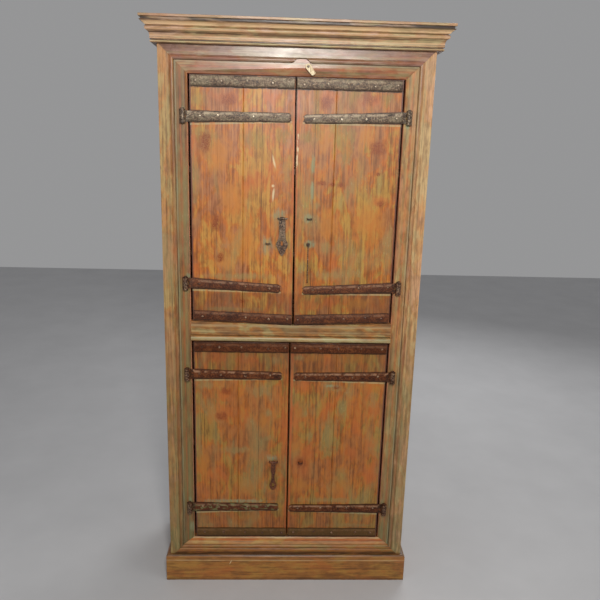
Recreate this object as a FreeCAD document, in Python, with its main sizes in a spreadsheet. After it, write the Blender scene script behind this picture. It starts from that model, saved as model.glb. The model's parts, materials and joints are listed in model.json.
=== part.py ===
import FreeCAD, Part
import math
import os
import Sketcher

# Two-tier painted wooden cupboard: a framed case on a plinth under a moulded cornice,
# four planked doors on iron strap hinges, two hasps, a hook and a wooden turn button.
# Millimetres, +Z up, X across, -Y is the front. The origin is on the floor, centred.

Vector = FreeCAD.Vector

SIZES = {
    # Case
    "case_half_width": 452.5,
    "case_depth": 420,
    "case_height": 1978,
    "side_thickness": 20,
    "back_thickness": 15,
    "back_bottom": 60,
    # Plinth
    "plinth_height": 110,
    "plinth_thickness": 15.5,
    "plinth_edge": 6,
    "block_width": 50,
    # Cornice and top
    "cornice_height": 64,
    "cornice_overhang": 48,
    "cap_recess": 6,
    "cap_recess_height": 8,
    "cap_thickness": 8,
    # Outer frame
    "outer_width": 50.7,
    "outer_thickness": 22,
    "outer_flat": 35,
    "outer_quirk": 2.5,
    "outer_bead_radius": 8.4,
    "outer_bead_drop": 4.5,
    "outer_sill_rise": 33,
    "outer_head_drop": 46,
    # Inner frame
    "inner_recess": 10,
    "inner_thickness": 24,
    "jamb_width": 41.5,
    "inner_head_width": 40,
    "inner_sill_width": 34,
    "inner_chamfer": 7,
    "inner_chamfer_drop": 3,
    # Crest: the raised middle of the inner head, let into the outer head
    "crest_x": 14,
    "crest_half_foot": 35,
    "crest_half_top": 11,
    "crest_rise": 13,
    "crest_curve": 16,
    "crest_fit": 0.5,
    # Middle rail
    "mid_rail_height": 75,
    "mid_rail_sag": 12,
    "mid_rail_bead": 22,
    "mid_rail_bead_radius": 12,
    "mid_rail_quirk": 3,
    # Boards inside
    "board_thickness": 20,
    "shelf_thickness": 18,
    "shelf_front": 62,
    "bottom_board_drop": 12,
    "middle_board_drop": 33,
    "cleat_height": 24,
    "cleat_width": 20,
    # Doors
    "leaf_face": 9.5,
    "leaf_thickness": 26,
    "door_gap": 2.6,
    "hinge_side_gap": 8,
    "seam_half_gap": 2.2,
    "seam_rebate": 2,
    "seam_rebate_depth": 7,
    "upper_seam_top": -3.5,
    "upper_seam_bottom": 5,
    "upper_seam_spread": 1.2,
    "lower_seam_top": -4.5,
    "lower_seam_bottom": -0.5,
    "leaf_groove": 2,
    "batten_width": 70,
    "batten_thickness": 18,
    "batten_inset": 34,
    "batten_chamfer": 5,
    # Iron straps
    "iron_thickness": 4,
    "edge_strap_width": 37,
    "edge_strap_inset": 3,
    "edge_strap_corner": 5,
    "hinge_strap_half": 18.5,
    "hinge_tip_half": 15.5,
    "hinge_tip_radius": 9,
    # Hinges
    "hinge_offset": 15,
    "hinge_pin_radius": 4,
    "hinge_play": 0.05,
    "knuckle_radius": 10,
    "knuckle_half_height": 22,
    "knuckle_lift": 0.5,
    "eye_half_height": 5.5,
    "eye_gap": 0.5,
    "eye_shank": 6,
    "eye_depth": 20,
    "pin_head_radius": 6,
    "pin_head_height": 4,
    "pin_reach": 2,
    # Staples and hasps
    "wire_radius": 2.5,
    "staple_stand": 8,
    "staple_half_width": 15,
    "staple_leg": 18,
    "hasp_loop_radius": 5.5,
    "hasp_loop_half": 8,
    "eye_bow_radius": 9,
    "eye_wire": 4.5,
    "eye_rise": 4,
    # Hook
    "hook_stand": 9,
    "hook_wire_radius": 2,
    "hook_ring_radius": 6.5,
    "hook_length": 136,
    "hook_bend_radius": 4,
    "hook_point": 1.5,
    "hook_nail_head": 5.5,
    "hook_nail_head_height": 2.5,
    # Turn button
    "button_x": 35,
    "button_rise": 29,
    "button_head_radius": 9.5,
    "button_tip_half": 7,
    "button_tip_corner": 2.5,
    "button_reach": 31,
    "button_front": -5,
    "button_back": 5,
    "button_nail_radius": 2,
    "button_nail_head": 4.5,
    "button_nail_head_height": 2,
}

BACK_PLANKS = 5
HALF_SHARE = 0.5
BUTTON_TILT_DEG = 38

# Each strap hinge: the heights of its pin and of its tip as shares of the door's height from its
# foot, and the share of the half opening that its tip leaves free.
STRAP_SHARES = {
    "upper_left": {"lower": (0.166, 0.148, 0.122), "upper": (0.839, 0.843, 0.050)},
    "upper_right": {"lower": (0.159, 0.142, 0.103), "upper": (0.853, 0.840, 0.072)},
    "lower_left": {"lower": (0.165, 0.166, 0.100), "upper": (0.844, 0.839, 0.089)},
    "lower_right": {"lower": (0.160, 0.160, 0.017), "upper": (0.840, 0.837, 0.039)},
}

# Heights of the fittings as shares of their door's height, of the shelves as shares of the room
# from the board below, and of the middle rail's top as a share of the opening.
FITTING_SHARES = {"upper_hasp": 0.445, "upper_catch": 0.445, "hook": 0.340, "lower_hasp": 0.407,
                  "lower_catch": 0.403}
LOWER_SHELF_SHARE = 0.462
UPPER_SHELF_SHARES = (0.275, 0.559)
MID_RAIL_SHARE = 0.511

# Places across of the staples, hasps, hook and planks' joints, and the outlines of the hasps.
FITTING_PLACES = {
    "upper_hasp_x": -40,
    "upper_hasp_waist": 11, "upper_hasp_shank": 48, "upper_hasp_wide": 20.5,
    "upper_hasp_wide_at": 86, "upper_hasp_neck": 13, "upper_hasp_neck_at": 109, "upper_hasp_length": 131,
    "upper_catch_x": 53,
    "hook_x": 51,
    "hook_eye_x": -89,
    "lower_hasp_x": -57,
    "lower_hasp_waist": 9, "lower_hasp_shank": 40, "lower_hasp_wide": 13.5,
    "lower_hasp_wide_at": 96, "lower_hasp_neck": 9, "lower_hasp_neck_at": 112, "lower_hasp_length": 119,
    "lower_catch_x": 46,
    "upper_left_joint": -176, "upper_right_joint": 132,
    "lower_left_joint": -190, "lower_right_joint": 168,
    "hasp_flare": 70, "hasp_belly": 34,
    "hasp_slot_half_width": 4, "hasp_slot_half_height": 8,
}
SIZES.update(FITTING_PLACES)


class Length:
    """A size of the sheet, or one worked out from several, with the formula that gives it."""

    def __init__(self, value, formula):
        self.value = value
        self.formula = formula

    def __add__(self, other):
        return Length(self.value + other.value, f"({self.formula} + {other.formula})")

    def __sub__(self, other):
        return Length(self.value - other.value, f"({self.formula} - {other.formula})")

    def __mul__(self, factor):
        return Length(self.value * factor, f"({self.formula} * ({factor}))")

    def __truediv__(self, count):
        return Length(self.value / count, f"({self.formula} / {count})")

    def __neg__(self):
        return Length(-self.value, f"(0 - {self.formula})")


class Sheet:
    """The spreadsheet of driving sizes, read by name."""

    def __init__(self, document, sizes):
        self.page = document.addObject("Spreadsheet::Sheet", "Sizes")
        for row, (name, value) in enumerate(sizes.items(), start=1):
            cell = f"A{row}"
            self.page.set(cell, str(value))
            self.page.setAlias(cell, name)
        document.recompute()

    def __getattr__(self, name):
        return Length(float(self.page.get(name)), f"Sizes.{name}")


document = FreeCAD.newDocument("Cupboard")
s = Sheet(document, SIZES)
ZERO = Length(0.0, "0")
NODES = []


# Places that several pieces share, measured from the frame's front face.
FRONT = (s.cornice_overhang - s.case_depth) * HALF_SHARE
BACK = s.case_depth - s.back_thickness
LEAF_BACK = s.leaf_face + s.leaf_thickness
IRON_FACE = s.leaf_face - s.iron_thickness
CORNICE_TOP = s.case_height + s.cornice_height
GROOVE_HALF = s.case_half_width - s.outer_width
OPENING_HALF = GROOVE_HALF - s.jamb_width
HEAD_BOTTOM = s.case_height - s.outer_head_drop
SILL_TOP = s.plinth_height + s.outer_sill_rise
OPENING_TOP = HEAD_BOTTOM - s.inner_head_width
OPENING_BOTTOM = SILL_TOP + s.inner_sill_width
FRAME_TOP = HEAD_BOTTOM + s.outer_width
FRAME_BOTTOM = SILL_TOP - s.outer_width
MID_TOP = OPENING_BOTTOM + (OPENING_TOP - OPENING_BOTTOM) * MID_RAIL_SHARE
MID_BOTTOM = MID_TOP - s.mid_rail_height
BOTTOM_BOARD_TOP = OPENING_BOTTOM - s.bottom_board_drop
MIDDLE_BOARD_TOP = MID_TOP - s.middle_board_drop
HINGE_X = OPENING_HALF + s.hinge_offset
HINGE_Y = s.leaf_face - s.knuckle_radius
INNER_WALL = s.case_half_width - s.side_thickness
LEAF_EDGE = OPENING_HALF - s.hinge_side_gap
BUTTON_Z = OPENING_TOP + s.button_rise
LOWER_SHELF_TOP = BOTTOM_BOARD_TOP + (MIDDLE_BOARD_TOP - BOTTOM_BOARD_TOP) * LOWER_SHELF_SHARE
UPPER_SHELF_TOPS = [MIDDLE_BOARD_TOP + (CORNICE_TOP - MIDDLE_BOARD_TOP) * share
                    for share in UPPER_SHELF_SHARES]


# Sketch and feature helpers

# How a sketch numbers its origin and the points of a line or an arc.
ORIGIN_INDEX = -1
START_INDEX = 1
END_INDEX = 2
CENTRE_INDEX = 3
OCTAGON_SIDES = 8
ROUND_SIDES = 16
HALF_ROUND_CORNERS = 9
FULL_TURN_DEG = 360
HALF_TURN_DEG = 180


def mirrored(loop):
    """The same outline on the other side of the plane X = 0."""
    return [(-x, y, radius, -turn) for x, y, radius, turn in corners(loop)]


def corners(loop):
    """Fill in straight segments: each corner becomes (x, y, radius, turn)."""
    return [tuple(corner) + (None, 0) if len(corner) == 2 else tuple(corner) for corner in loop]


def circle(x, y, radius):
    return ("circle", x, y, radius)


def box_loop(low_x, high_x, low_y, high_y):
    return [(low_x, low_y), (high_x, low_y), (high_x, high_y), (low_x, high_y)]


def forged_round(x, y, radius, sides, start_deg):
    """Corners round a hammered, many-sided outline, its corners at `radius`."""
    angles = [math.radians(start_deg + FULL_TURN_DEG * count / sides) for count in range(sides)]
    return [(x + radius * math.cos(angle), y + radius * math.sin(angle)) for angle in angles]


def front_half(x, y, radius):
    """The half of such an outline that faces the front, from left to right."""
    return forged_round(x, y, radius, ROUND_SIDES, HALF_TURN_DEG)[:HALF_ROUND_CORNERS]


def octagon(x, y, radius):
    return forged_round(x, y, radius, OCTAGON_SIDES, HALF_TURN_DEG / OCTAGON_SIDES)


def middle_of_arc(start, end, radius, turn):
    """The point half way along the arc that bulges to the left (turn 1) or right (turn -1)."""
    chord = end - start
    half = chord.Length * HALF_SHARE
    rise = radius - math.sqrt(max(radius * radius - half * half, 0))
    side = Vector(-chord.y, chord.x, 0).normalize()
    return (start + end) * HALF_SHARE + side * rise * turn


def bind_point(sketch, geometry, position, x, y):
    for kind, length in (("DistanceX", x), ("DistanceY", y)):
        index = sketch.addConstraint(
            Sketcher.Constraint(kind, ORIGIN_INDEX, START_INDEX, geometry, position, length.value))
        sketch.setExpression(f"Constraints[{index}]", length.formula)


def draw_circle(sketch, x, y, radius):
    geometry = sketch.addGeometry(
        Part.Circle(Vector(x.value, y.value, 0), Vector(0, 0, 1), radius.value), False)
    bind_point(sketch, geometry, CENTRE_INDEX, x, y)
    index = sketch.addConstraint(Sketcher.Constraint("Radius", geometry, radius.value))
    sketch.setExpression(f"Constraints[{index}]", radius.formula)


def draw_line(sketch, start, end, radius, turn):
    """Draw one stretch, straight or an arc, and say which of its points comes first and last."""
    if radius is None:
        geometry = sketch.addGeometry(Part.LineSegment(start, end), False)
        return geometry, START_INDEX, END_INDEX
    middle = middle_of_arc(start, end, radius.value, turn)
    geometry = sketch.addGeometry(Part.Arc(start, middle, end), False)
    reach = {point: (sketch.getPoint(geometry, point) - start).Length for point in (START_INDEX, END_INDEX)}
    first = min(reach, key=reach.get)
    return geometry, first, max(reach, key=reach.get)


def draw_loop(sketch, loop, closed=True):
    """Draw an outline of lines and arcs, or an open path, each corner bound to its sizes."""
    points = corners(loop)
    places = [Vector(x.value, y.value, 0) for x, y, radius, turn in points]
    following = places[1:] + places[:1]
    stretches = list(zip(places, following, points))
    if not closed:
        stretches.pop()
    ends = [draw_line(sketch, start, end, radius, turn) for start, end, (x, y, radius, turn) in stretches]
    joints = list(zip(ends, ends[1:] + ends[:1]))
    if not closed:
        joints.pop()
        bind_point(sketch, ends[-1][0], ends[-1][2], *points[-1][:2])
    for (geometry, first, last), (next_geometry, next_first, next_last) in joints:
        sketch.addConstraint(
            Sketcher.Constraint("Coincident", geometry, last, next_geometry, next_first))
    for (geometry, first, last), (x, y, radius, turn) in zip(ends, points):
        bind_point(sketch, geometry, first, x, y)
        if radius is not None:
            index = sketch.addConstraint(Sketcher.Constraint("Radius", geometry, radius.value))
            sketch.setExpression(f"Constraints[{index}]", radius.formula)


def sketch_on(body, name, plane, loops, start, closed=True):
    """Outlines on a plane of the body, moved along the plane's axis to `start`."""
    sketch = body.newObject("Sketcher::SketchObject", name)
    origin_plane = [f for f in body.Origin.OriginFeatures if f.Role == plane + "_Plane"][0]
    sketch.AttachmentSupport = [(origin_plane, "")]
    sketch.MapMode = "FlatFace"
    along = -start if plane == "XZ" else start
    sketch.setExpression("AttachmentOffset.Base.z", along.formula)
    for loop in loops:
        if loop[0] == "circle":
            draw_circle(sketch, *loop[1:])
        else:
            draw_loop(sketch, loop, closed)
    return sketch


def new_body(name):
    body = document.addObject("PartDesign::Body", name)
    body.Label = name
    body.AllowCompound = True
    body.setExpression("Placement.Base.y", FRONT.formula)
    return body


def pad(body, name, plane, loops, start, end):
    """Add the outlines, drawn out along the plane's axis from `start` to `end`."""
    feature = body.newObject("PartDesign::Pad", name)
    feature.Profile = sketch_on(body, name + "Outline", plane, loops, start)
    feature.setExpression("Length", (end - start).formula)
    feature.Reversed = plane == "XZ"
    return feature


def sweep(body, name, outline, height, path, place):
    """Draw a level outline at `height` along a path that lies across the plane X = `place`."""
    feature = body.newObject("PartDesign::AdditivePipe", name)
    feature.Profile = sketch_on(body, name + "Outline", "XY", [outline], height)
    feature.Spine = sketch_on(body, name + "Path", "YZ", [path], place, closed=False)
    return feature


def cut(body, name, plane, loops, start, end):
    """Cut the outlines away from `start` to `end`, and make sure that they cut something."""
    document.recompute()
    before = body.Shape.Volume
    feature = body.newObject("PartDesign::Pocket", name)
    feature.Profile = sketch_on(body, name + "Outline", plane, loops, start)
    feature.setExpression("Length", (end - start).formula)
    feature.Reversed = plane != "XZ"
    document.recompute()
    if not body.Shape.Volume < before:
        raise ValueError(f"{body.Label}: {name} cuts nothing")
    return feature


def node(piece):
    NODES.append(piece)
    return piece


def group(name, bodies):
    """One node of separate like pieces."""
    compound = document.addObject("Part::Compound", name)
    compound.Label = name
    compound.Links = bodies
    for body in bodies:
        body.Label = body.Label + "_piece"
    return node(compound)


def board(name, x_range, y_range, z_range):
    """A plain board: its plan drawn up from its underside."""
    body = new_body(name)
    pad(body, "Board", "XY", [box_loop(*x_range, *y_range)], *z_range)
    return body


def between(first, last, share):
    return first + (last - first) * share


def height_on(door, share):
    """A height on a door, as a share of its opening from the foot."""
    if door.startswith("upper"):
        return between(MID_TOP, OPENING_TOP, share)
    return between(OPENING_BOTTOM, MID_BOTTOM, share)


def pin_heights(door):
    return [height_on(door, shares[0]) for shares in STRAP_SHARES[door].values()]


# Plinth: three mitred boards round the foot of the case, with a bevelled top edge.

def plinth_front():
    body = new_body("plinth_front")
    wide = s.case_half_width + s.plinth_thickness
    plan = [(-wide, -s.plinth_thickness), (wide, -s.plinth_thickness),
            (s.case_half_width, ZERO), (-s.case_half_width, ZERO)]
    pad(body, "Board", "XY", [plan], ZERO, s.plinth_height)
    edge = [(-s.plinth_thickness, s.plinth_height - s.plinth_edge),
            (-s.plinth_thickness, s.plinth_height),
            (s.plinth_edge - s.plinth_thickness, s.plinth_height)]
    cut(body, "TopBevel", "YZ", [edge], -wide, wide)
    return node(body)


def plinth_side(name, side):
    body = new_body(name)
    face = (s.case_half_width + s.plinth_thickness) * side
    plan = [(face, -s.plinth_thickness), (face, s.case_depth),
            (s.case_half_width * side, s.case_depth), (s.case_half_width * side, ZERO)]
    pad(body, "Board", "XY", [plan], ZERO, s.plinth_height)
    edge = [(face, s.plinth_height - s.plinth_edge), (face, s.plinth_height),
            (face - s.plinth_edge * side, s.plinth_height)]
    cut(body, "TopBevel", "XZ", [edge], -s.plinth_thickness, s.case_depth)
    return node(body)


def plinth_blocks():
    blocks = []
    for word, side in (("left", -1), ("right", 1)):
        outer = s.case_half_width * side
        inner = (s.case_half_width - s.block_width) * side
        blocks.append(board("plinth_block_" + word, (outer, inner), (ZERO, s.outer_thickness),
                            (ZERO, FRAME_BOTTOM)))
    return group("plinth_blocks", blocks)


# Case boards

def case_side(name, side):
    return node(board(name, (INNER_WALL * side, s.case_half_width * side),
                      (s.outer_thickness, BACK), (ZERO, CORNICE_TOP)))


def back_planks():
    """Upright planks with bevelled rear edges, nailed over the back of the case."""
    width = (s.case_half_width + s.case_half_width) / BACK_PLANKS
    planks = []
    for count in range(BACK_PLANKS):
        left = width * count - s.case_half_width
        right = left + width
        body = new_body(f"back_plank_{count}")
        plan = [(left, BACK), (right, BACK), (right, s.case_depth - s.leaf_groove),
                (right - s.leaf_groove, s.case_depth), (left + s.leaf_groove, s.case_depth),
                (left, s.case_depth - s.leaf_groove)]
        pad(body, "Plank", "XY", [plan], s.back_bottom, CORNICE_TOP)
        planks.append(body)
    return group("back_planks", planks)


def shelf(name, top, front, thickness):
    return node(board(name, (-INNER_WALL, INNER_WALL), (front, BACK), (top - thickness, top)))


def shelf_cleats():
    cleats = []
    for level, top in enumerate([LOWER_SHELF_TOP] + UPPER_SHELF_TOPS):
        under = top - s.shelf_thickness
        for word, side in (("left", -1), ("right", 1)):
            inner = (INNER_WALL - s.cleat_width) * side
            cleats.append(board(f"cleat_{word}_{level}", (INNER_WALL * side, inner),
                                (s.shelf_front, BACK), (under - s.cleat_height, under)))
    return group("shelf_cleats", cleats)


def cornice_rail():
    return node(board("cornice_rail", (-s.case_half_width, s.case_half_width),
                      (ZERO, s.outer_thickness), (FRAME_TOP, CORNICE_TOP)))


def top_board():
    """The top board, stepped in under a nosing that runs round its front and sides."""
    body = new_body("top_board")
    step = CORNICE_TOP + s.cap_recess_height
    for name, reach, low, high in (("Recess", s.cornice_overhang - s.cap_recess, CORNICE_TOP, step),
                                   ("Nosing", s.cornice_overhang, step, step + s.cap_thickness)):
        wide = s.case_half_width + reach
        pad(body, name, "XY", [box_loop(-wide, wide, -reach, s.case_depth)], low, high)
    return node(body)


# Cornice: one moulding of beads and coves, mitred at the front corners.

# The moulding from its foot up: the share of the overhang and of the height, then the arc to the
# next point as a share of the height with its side, or nothing for a straight stretch.
CORNICE_SHARES = [
    (0.34, 0.00, None, 0),
    (0.37, 0.02, 0.060, -1),
    (0.37, 0.11, None, 0),
    (0.32, 0.13, None, 0),
    (0.32, 0.17, None, 0),
    (0.41, 0.18, 0.45, 1),
    (0.50, 0.53, None, 0),
    (0.60, 0.56, 0.11, -1),
    (0.62, 0.74, None, 0),
    (0.56, 0.77, None, 0),
    (0.66, 0.80, 0.34, 1),
    (0.93, 0.96, None, 0),
    (0.96, 1.00, None, 0),
]


def cornice_profile(place):
    """The moulding's section, each point put in the sketch by `place`."""
    section = [place(ZERO, s.case_height) + (None, 0)]
    for reach, rise, radius, turn in CORNICE_SHARES:
        point = place(s.cornice_overhang * reach, s.case_height + s.cornice_height * rise)
        arc = None if radius is None else s.cornice_height * radius
        section.append(point + (arc, turn))
    section.append(place(ZERO, CORNICE_TOP) + (None, 0))
    return section


def flipped(loop):
    return [(x, y, radius, -turn) for x, y, radius, turn in corners(loop)]


def cornice_front():
    body = new_body("cornice_front")
    wide = s.case_half_width + s.cornice_overhang
    profile = flipped(cornice_profile(lambda reach, rise: (-reach, rise)))
    pad(body, "Moulding", "YZ", [profile], -wide, wide)
    mitre = [(wide, -s.cornice_overhang), (wide, ZERO), (s.case_half_width, ZERO)]
    cut(body, "Mitres", "XY", [mitre, mirrored(mitre)], s.case_height, CORNICE_TOP)
    return node(body)


def cornice_side(name, side):
    body = new_body(name)
    profile = cornice_profile(lambda reach, rise: (s.case_half_width + reach, rise))
    wide = s.case_half_width + s.cornice_overhang
    mitre = [(wide, -s.cornice_overhang), (s.case_half_width, ZERO),
             (s.case_half_width, -s.cornice_overhang)]
    if side < 0:
        profile = mirrored(profile)
        mitre = mirrored(mitre)
    pad(body, "Moulding", "XZ", [profile], -s.cornice_overhang, s.case_depth)
    cut(body, "Mitre", "XY", [mitre], s.case_height, CORNICE_TOP)
    return node(body)


# Outer frame: a flat member with a bead along its inner edge, mitred at the corners.

def outer_section(place):
    quirk = s.outer_flat + s.outer_quirk
    return [place(ZERO, s.outer_thickness) + (None, 0),
            place(ZERO, ZERO) + (None, 0),
            place(s.outer_flat, ZERO) + (None, 0),
            place(quirk, s.outer_quirk) + (s.outer_bead_radius, 1),
            place(s.outer_width, s.outer_bead_drop) + (None, 0),
            place(s.outer_width, s.outer_thickness) + (None, 0)]


def outer_stile(name, side):
    body = new_body(name)
    section = outer_section(lambda across, deep: (across - s.case_half_width, deep))
    section = flipped(section)
    top = [(-s.case_half_width, FRAME_TOP), (-GROOVE_HALF, HEAD_BOTTOM), (-GROOVE_HALF, FRAME_TOP)]
    foot = [(-s.case_half_width, FRAME_BOTTOM), (-GROOVE_HALF, SILL_TOP),
            (-GROOVE_HALF, FRAME_BOTTOM)]
    if side > 0:
        section, top, foot = mirrored(section), mirrored(top), mirrored(foot)
    pad(body, "Member", "XY", [section], FRAME_BOTTOM, FRAME_TOP)
    cut(body, "Mitres", "XZ", [top, foot], ZERO, s.outer_thickness)
    return node(body)


def crest(room):
    """The outline of the inner head's raised middle, an ogee on each side, with `room` round it."""
    foot, top = s.crest_half_foot + room, s.crest_half_top + room
    flank = between(foot, top, HALF_SHARE)
    low, high = HEAD_BOTTOM, HEAD_BOTTOM + s.crest_rise + room
    middle = between(low, high, HALF_SHARE)
    centre, curve = s.crest_x, s.crest_curve
    return [(centre - foot, low), (centre + foot, low, curve, 1), (centre + flank, middle, curve, -1),
            (centre + top, high), (centre - top, high, curve, -1), (centre - flank, middle, curve, 1)]


def outer_rail(name, outside, inside):
    """The head or the sill of the outer frame, from its outer edge to its inner edge."""
    body = new_body(name)
    up = 1 if (inside - outside).value > 0 else -1
    section = outer_section(lambda across, deep: (deep, outside + across * up))
    if up < 0:
        section = flipped(section)
    pad(body, "Member", "YZ", [section], -s.case_half_width, s.case_half_width)
    mitre = [(s.case_half_width, outside), (s.case_half_width, inside), (GROOVE_HALF, inside)]
    cut(body, "Mitres", "XZ", [mitre, mirrored(mitre)], ZERO, s.outer_thickness)
    if up < 0:
        cut(body, "CrestNotch", "XZ", [crest(s.crest_fit)], ZERO, s.outer_thickness)
    return node(body)


# Inner frame, set back inside the outer one, with a bevel round the doors.

def inner_section(place, width):
    back = s.inner_recess + s.inner_thickness
    return [place(ZERO, back), place(ZERO, s.inner_recess),
            place(width - s.inner_chamfer, s.inner_recess),
            place(width, s.inner_recess + s.inner_chamfer_drop), place(width, back)]


def inner_jamb(name, side):
    body = new_body(name)
    section = inner_section(lambda across, deep: (GROOVE_HALF - across, deep), s.jamb_width)
    top = [(GROOVE_HALF, HEAD_BOTTOM), (OPENING_HALF, OPENING_TOP), (OPENING_HALF, HEAD_BOTTOM)]
    foot = [(GROOVE_HALF, SILL_TOP), (OPENING_HALF, OPENING_BOTTOM), (OPENING_HALF, SILL_TOP)]
    if side < 0:
        section, top, foot = mirrored(section), mirrored(top), mirrored(foot)
    pad(body, "Member", "XY", [section], SILL_TOP, HEAD_BOTTOM)
    back = s.inner_recess + s.inner_thickness
    cut(body, "Mitres", "XZ", [top, foot], s.inner_recess, back)
    half, tall = s.eye_shank * HALF_SHARE, s.eye_half_height
    word = "left" if side < 0 else "right"
    slots = [box_loop(HINGE_X * side - half, HINGE_X * side + half, height - tall, height + tall)
             for height in pin_heights("upper_" + word) + pin_heights("lower_" + word)]
    cut(body, "EyeSlots", "XZ", slots, s.inner_recess, s.inner_recess + s.eye_depth)
    return node(body)


def inner_rail(name, outside, inside):
    body = new_body(name)
    up = 1 if (inside - outside).value > 0 else -1
    width = (inside - outside) * up
    section = inner_section(lambda across, deep: (deep, outside + across * up), width)
    pad(body, "Member", "YZ", [section], -GROOVE_HALF, GROOVE_HALF)
    back = s.inner_recess + s.inner_thickness
    mitre = [(GROOVE_HALF, outside), (GROOVE_HALF, inside), (OPENING_HALF, inside)]
    cut(body, "Mitres", "XZ", [mitre, mirrored(mitre)], s.inner_recess, back)
    if up < 0:
        pad(body, "Crest", "XZ", [crest(ZERO)], s.inner_recess, back)
        hole = circle(s.button_x, BUTTON_Z, s.button_nail_radius)
        cut(body, "ButtonNailHole", "XZ", [hole], s.inner_recess, back)
    return node(body)


def mid_rail():
    """The rail between the two pairs of doors: its top dips to the middle, its foot is a bead."""
    body = new_body("mid_rail")
    back = s.inner_recess + s.inner_thickness
    bead_top = MID_BOTTOM + s.mid_rail_bead
    front = [(-OPENING_HALF, MID_BOTTOM), (OPENING_HALF, MID_BOTTOM),
             (OPENING_HALF, MID_TOP), (s.upper_seam_bottom, MID_TOP - s.mid_rail_sag),
             (-OPENING_HALF, MID_TOP)]
    pad(body, "Rail", "XZ", [front], s.inner_recess, back)
    bead = [(s.inner_recess, bead_top), (s.inner_recess, MID_BOTTOM, s.mid_rail_bead_radius, 1)]
    pad(body, "Bead", "YZ", [bead], -OPENING_HALF, OPENING_HALF)
    quirk = [(s.inner_recess, bead_top), (s.inner_recess, bead_top + s.mid_rail_quirk),
             (s.inner_recess + s.mid_rail_quirk, bead_top)]
    cut(body, "Quirk", "YZ", [quirk], -OPENING_HALF, OPENING_HALF)
    return node(body)


# Doors

def door_outline(door):
    """Where a door's edges run: its seam x at top and bottom, and its top and bottom heights."""
    if door.startswith("upper"):
        sag_height = MID_TOP - s.mid_rail_sag
        return {"seam_top": s.upper_seam_top, "seam_bottom": s.upper_seam_bottom,
                "gap_top": s.seam_half_gap, "gap_bottom": s.seam_half_gap + s.upper_seam_spread,
                "top": OPENING_TOP - s.door_gap, "bottom": MID_TOP + s.door_gap,
                "bottom_middle": sag_height + s.door_gap}
    return {"seam_top": s.lower_seam_top, "seam_bottom": s.lower_seam_bottom,
            "gap_top": s.seam_half_gap, "gap_bottom": s.seam_half_gap,
            "top": MID_BOTTOM - s.door_gap, "bottom": OPENING_BOTTOM + s.door_gap,
            "bottom_middle": OPENING_BOTTOM + s.door_gap}


def door_leaf(door, side, joint, holes):
    """Two upright planks that meet at `joint`, bevelled there, with holes for the fittings."""
    line = door_outline(door)
    free_top = line["seam_top"] + line["gap_top"] * side
    free_bottom = line["seam_bottom"] + line["gap_bottom"] * side
    hinge = LEAF_EDGE * side
    # The foot follows the rail below: level where that is level, else sloped to the seam.
    share = (joint.value - hinge.value) / (free_bottom.value - hinge.value)
    joint_bottom = between(line["bottom"], line["bottom_middle"], share)

    def seam_plank(rebate):
        return [(joint, joint_bottom), (free_bottom + rebate * side, line["bottom_middle"]),
                (free_top + rebate * side, line["top"]), (joint, line["top"])]

    hinge_plank = [(hinge, line["bottom"]), (joint, joint_bottom), (joint, line["top"]), (hinge, line["top"])]
    step = s.leaf_face + s.seam_rebate_depth
    planks = []
    for word, face, core in (("hinge", hinge_plank, hinge_plank),
                             ("seam", seam_plank(s.seam_rebate), seam_plank(ZERO))):
        body = new_body(f"{door}_{word}_plank")
        pad(body, "Core", "XZ", [core], step, LEAF_BACK)
        pad(body, "Face", "XZ", [face], s.leaf_face, step)
        toward = side if word == "hinge" else -side
        bevel = [(joint, s.leaf_face), (joint + s.leaf_groove * toward, s.leaf_face),
                 (joint, s.leaf_face + s.leaf_groove)]
        cut(body, "JointBevel", "XY", [bevel], line["bottom_middle"], line["top"])
        if word == "seam":
            cut(body, "FittingHoles", "XZ", holes, s.leaf_face, s.leaf_face + s.staple_leg)
        planks.append(body)
    return group(door + "_planks", planks)


def door_battens(door, side):
    """Two bevelled battens across the back of the door, behind its strap hinges."""
    battens = []
    inner = s.batten_inset * side
    outer = (LEAF_EDGE - s.batten_inset) * side
    for count, height in enumerate(pin_heights(door)):
        half = s.batten_width * HALF_SHARE
        back = LEAF_BACK + s.batten_thickness
        body = new_body(f"{door}_batten_{count}")
        section = [(LEAF_BACK, height - half), (LEAF_BACK, height + half),
                   (back - s.batten_chamfer, height + half), (back, height + half - s.batten_chamfer),
                   (back, height - half + s.batten_chamfer), (back - s.batten_chamfer, height - half)]
        low, high = (inner, outer) if side > 0 else (outer, inner)
        pad(body, "Batten", "YZ", [section], low, high)
        battens.append(body)
    return group(door + "_battens", battens)


def edge_straps(door, side):
    """Flat iron along the door's top and bottom edges, with clipped corners."""
    line = door_outline(door)
    hinge = (LEAF_EDGE - s.edge_strap_inset) * side
    clip = s.edge_strap_corner * HALF_SHARE
    straps = []
    for word in ("top", "bottom"):
        gap = line["gap_" + word] + s.edge_strap_inset * HALF_SHARE
        free = line["seam_" + word] + gap * side
        if word == "top":
            high_hinge = high_free = line["top"] - s.edge_strap_inset * HALF_SHARE
            low_hinge = low_free = high_hinge - s.edge_strap_width
        else:
            low_hinge = line["bottom"] + s.edge_strap_inset * HALF_SHARE
            low_free = line["bottom_middle"] + s.edge_strap_inset * HALF_SHARE
            high_hinge = low_hinge + s.edge_strap_width
            high_free = low_free + s.edge_strap_width
        outline = [(hinge, low_hinge + clip), (hinge - clip * side, low_hinge),
                   (free + clip * side, low_free), (free, low_free + clip),
                   (free, high_free - clip), (free + clip * side, high_free),
                   (hinge - clip * side, high_hinge), (hinge, high_hinge - clip)]
        body = new_body(f"{door}_{word}_edge_strap")
        pad(body, "Strap", "XZ", [outline], IRON_FACE, s.leaf_face)
        straps.append(body)
    return group(door + "_edge_straps", straps)


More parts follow.
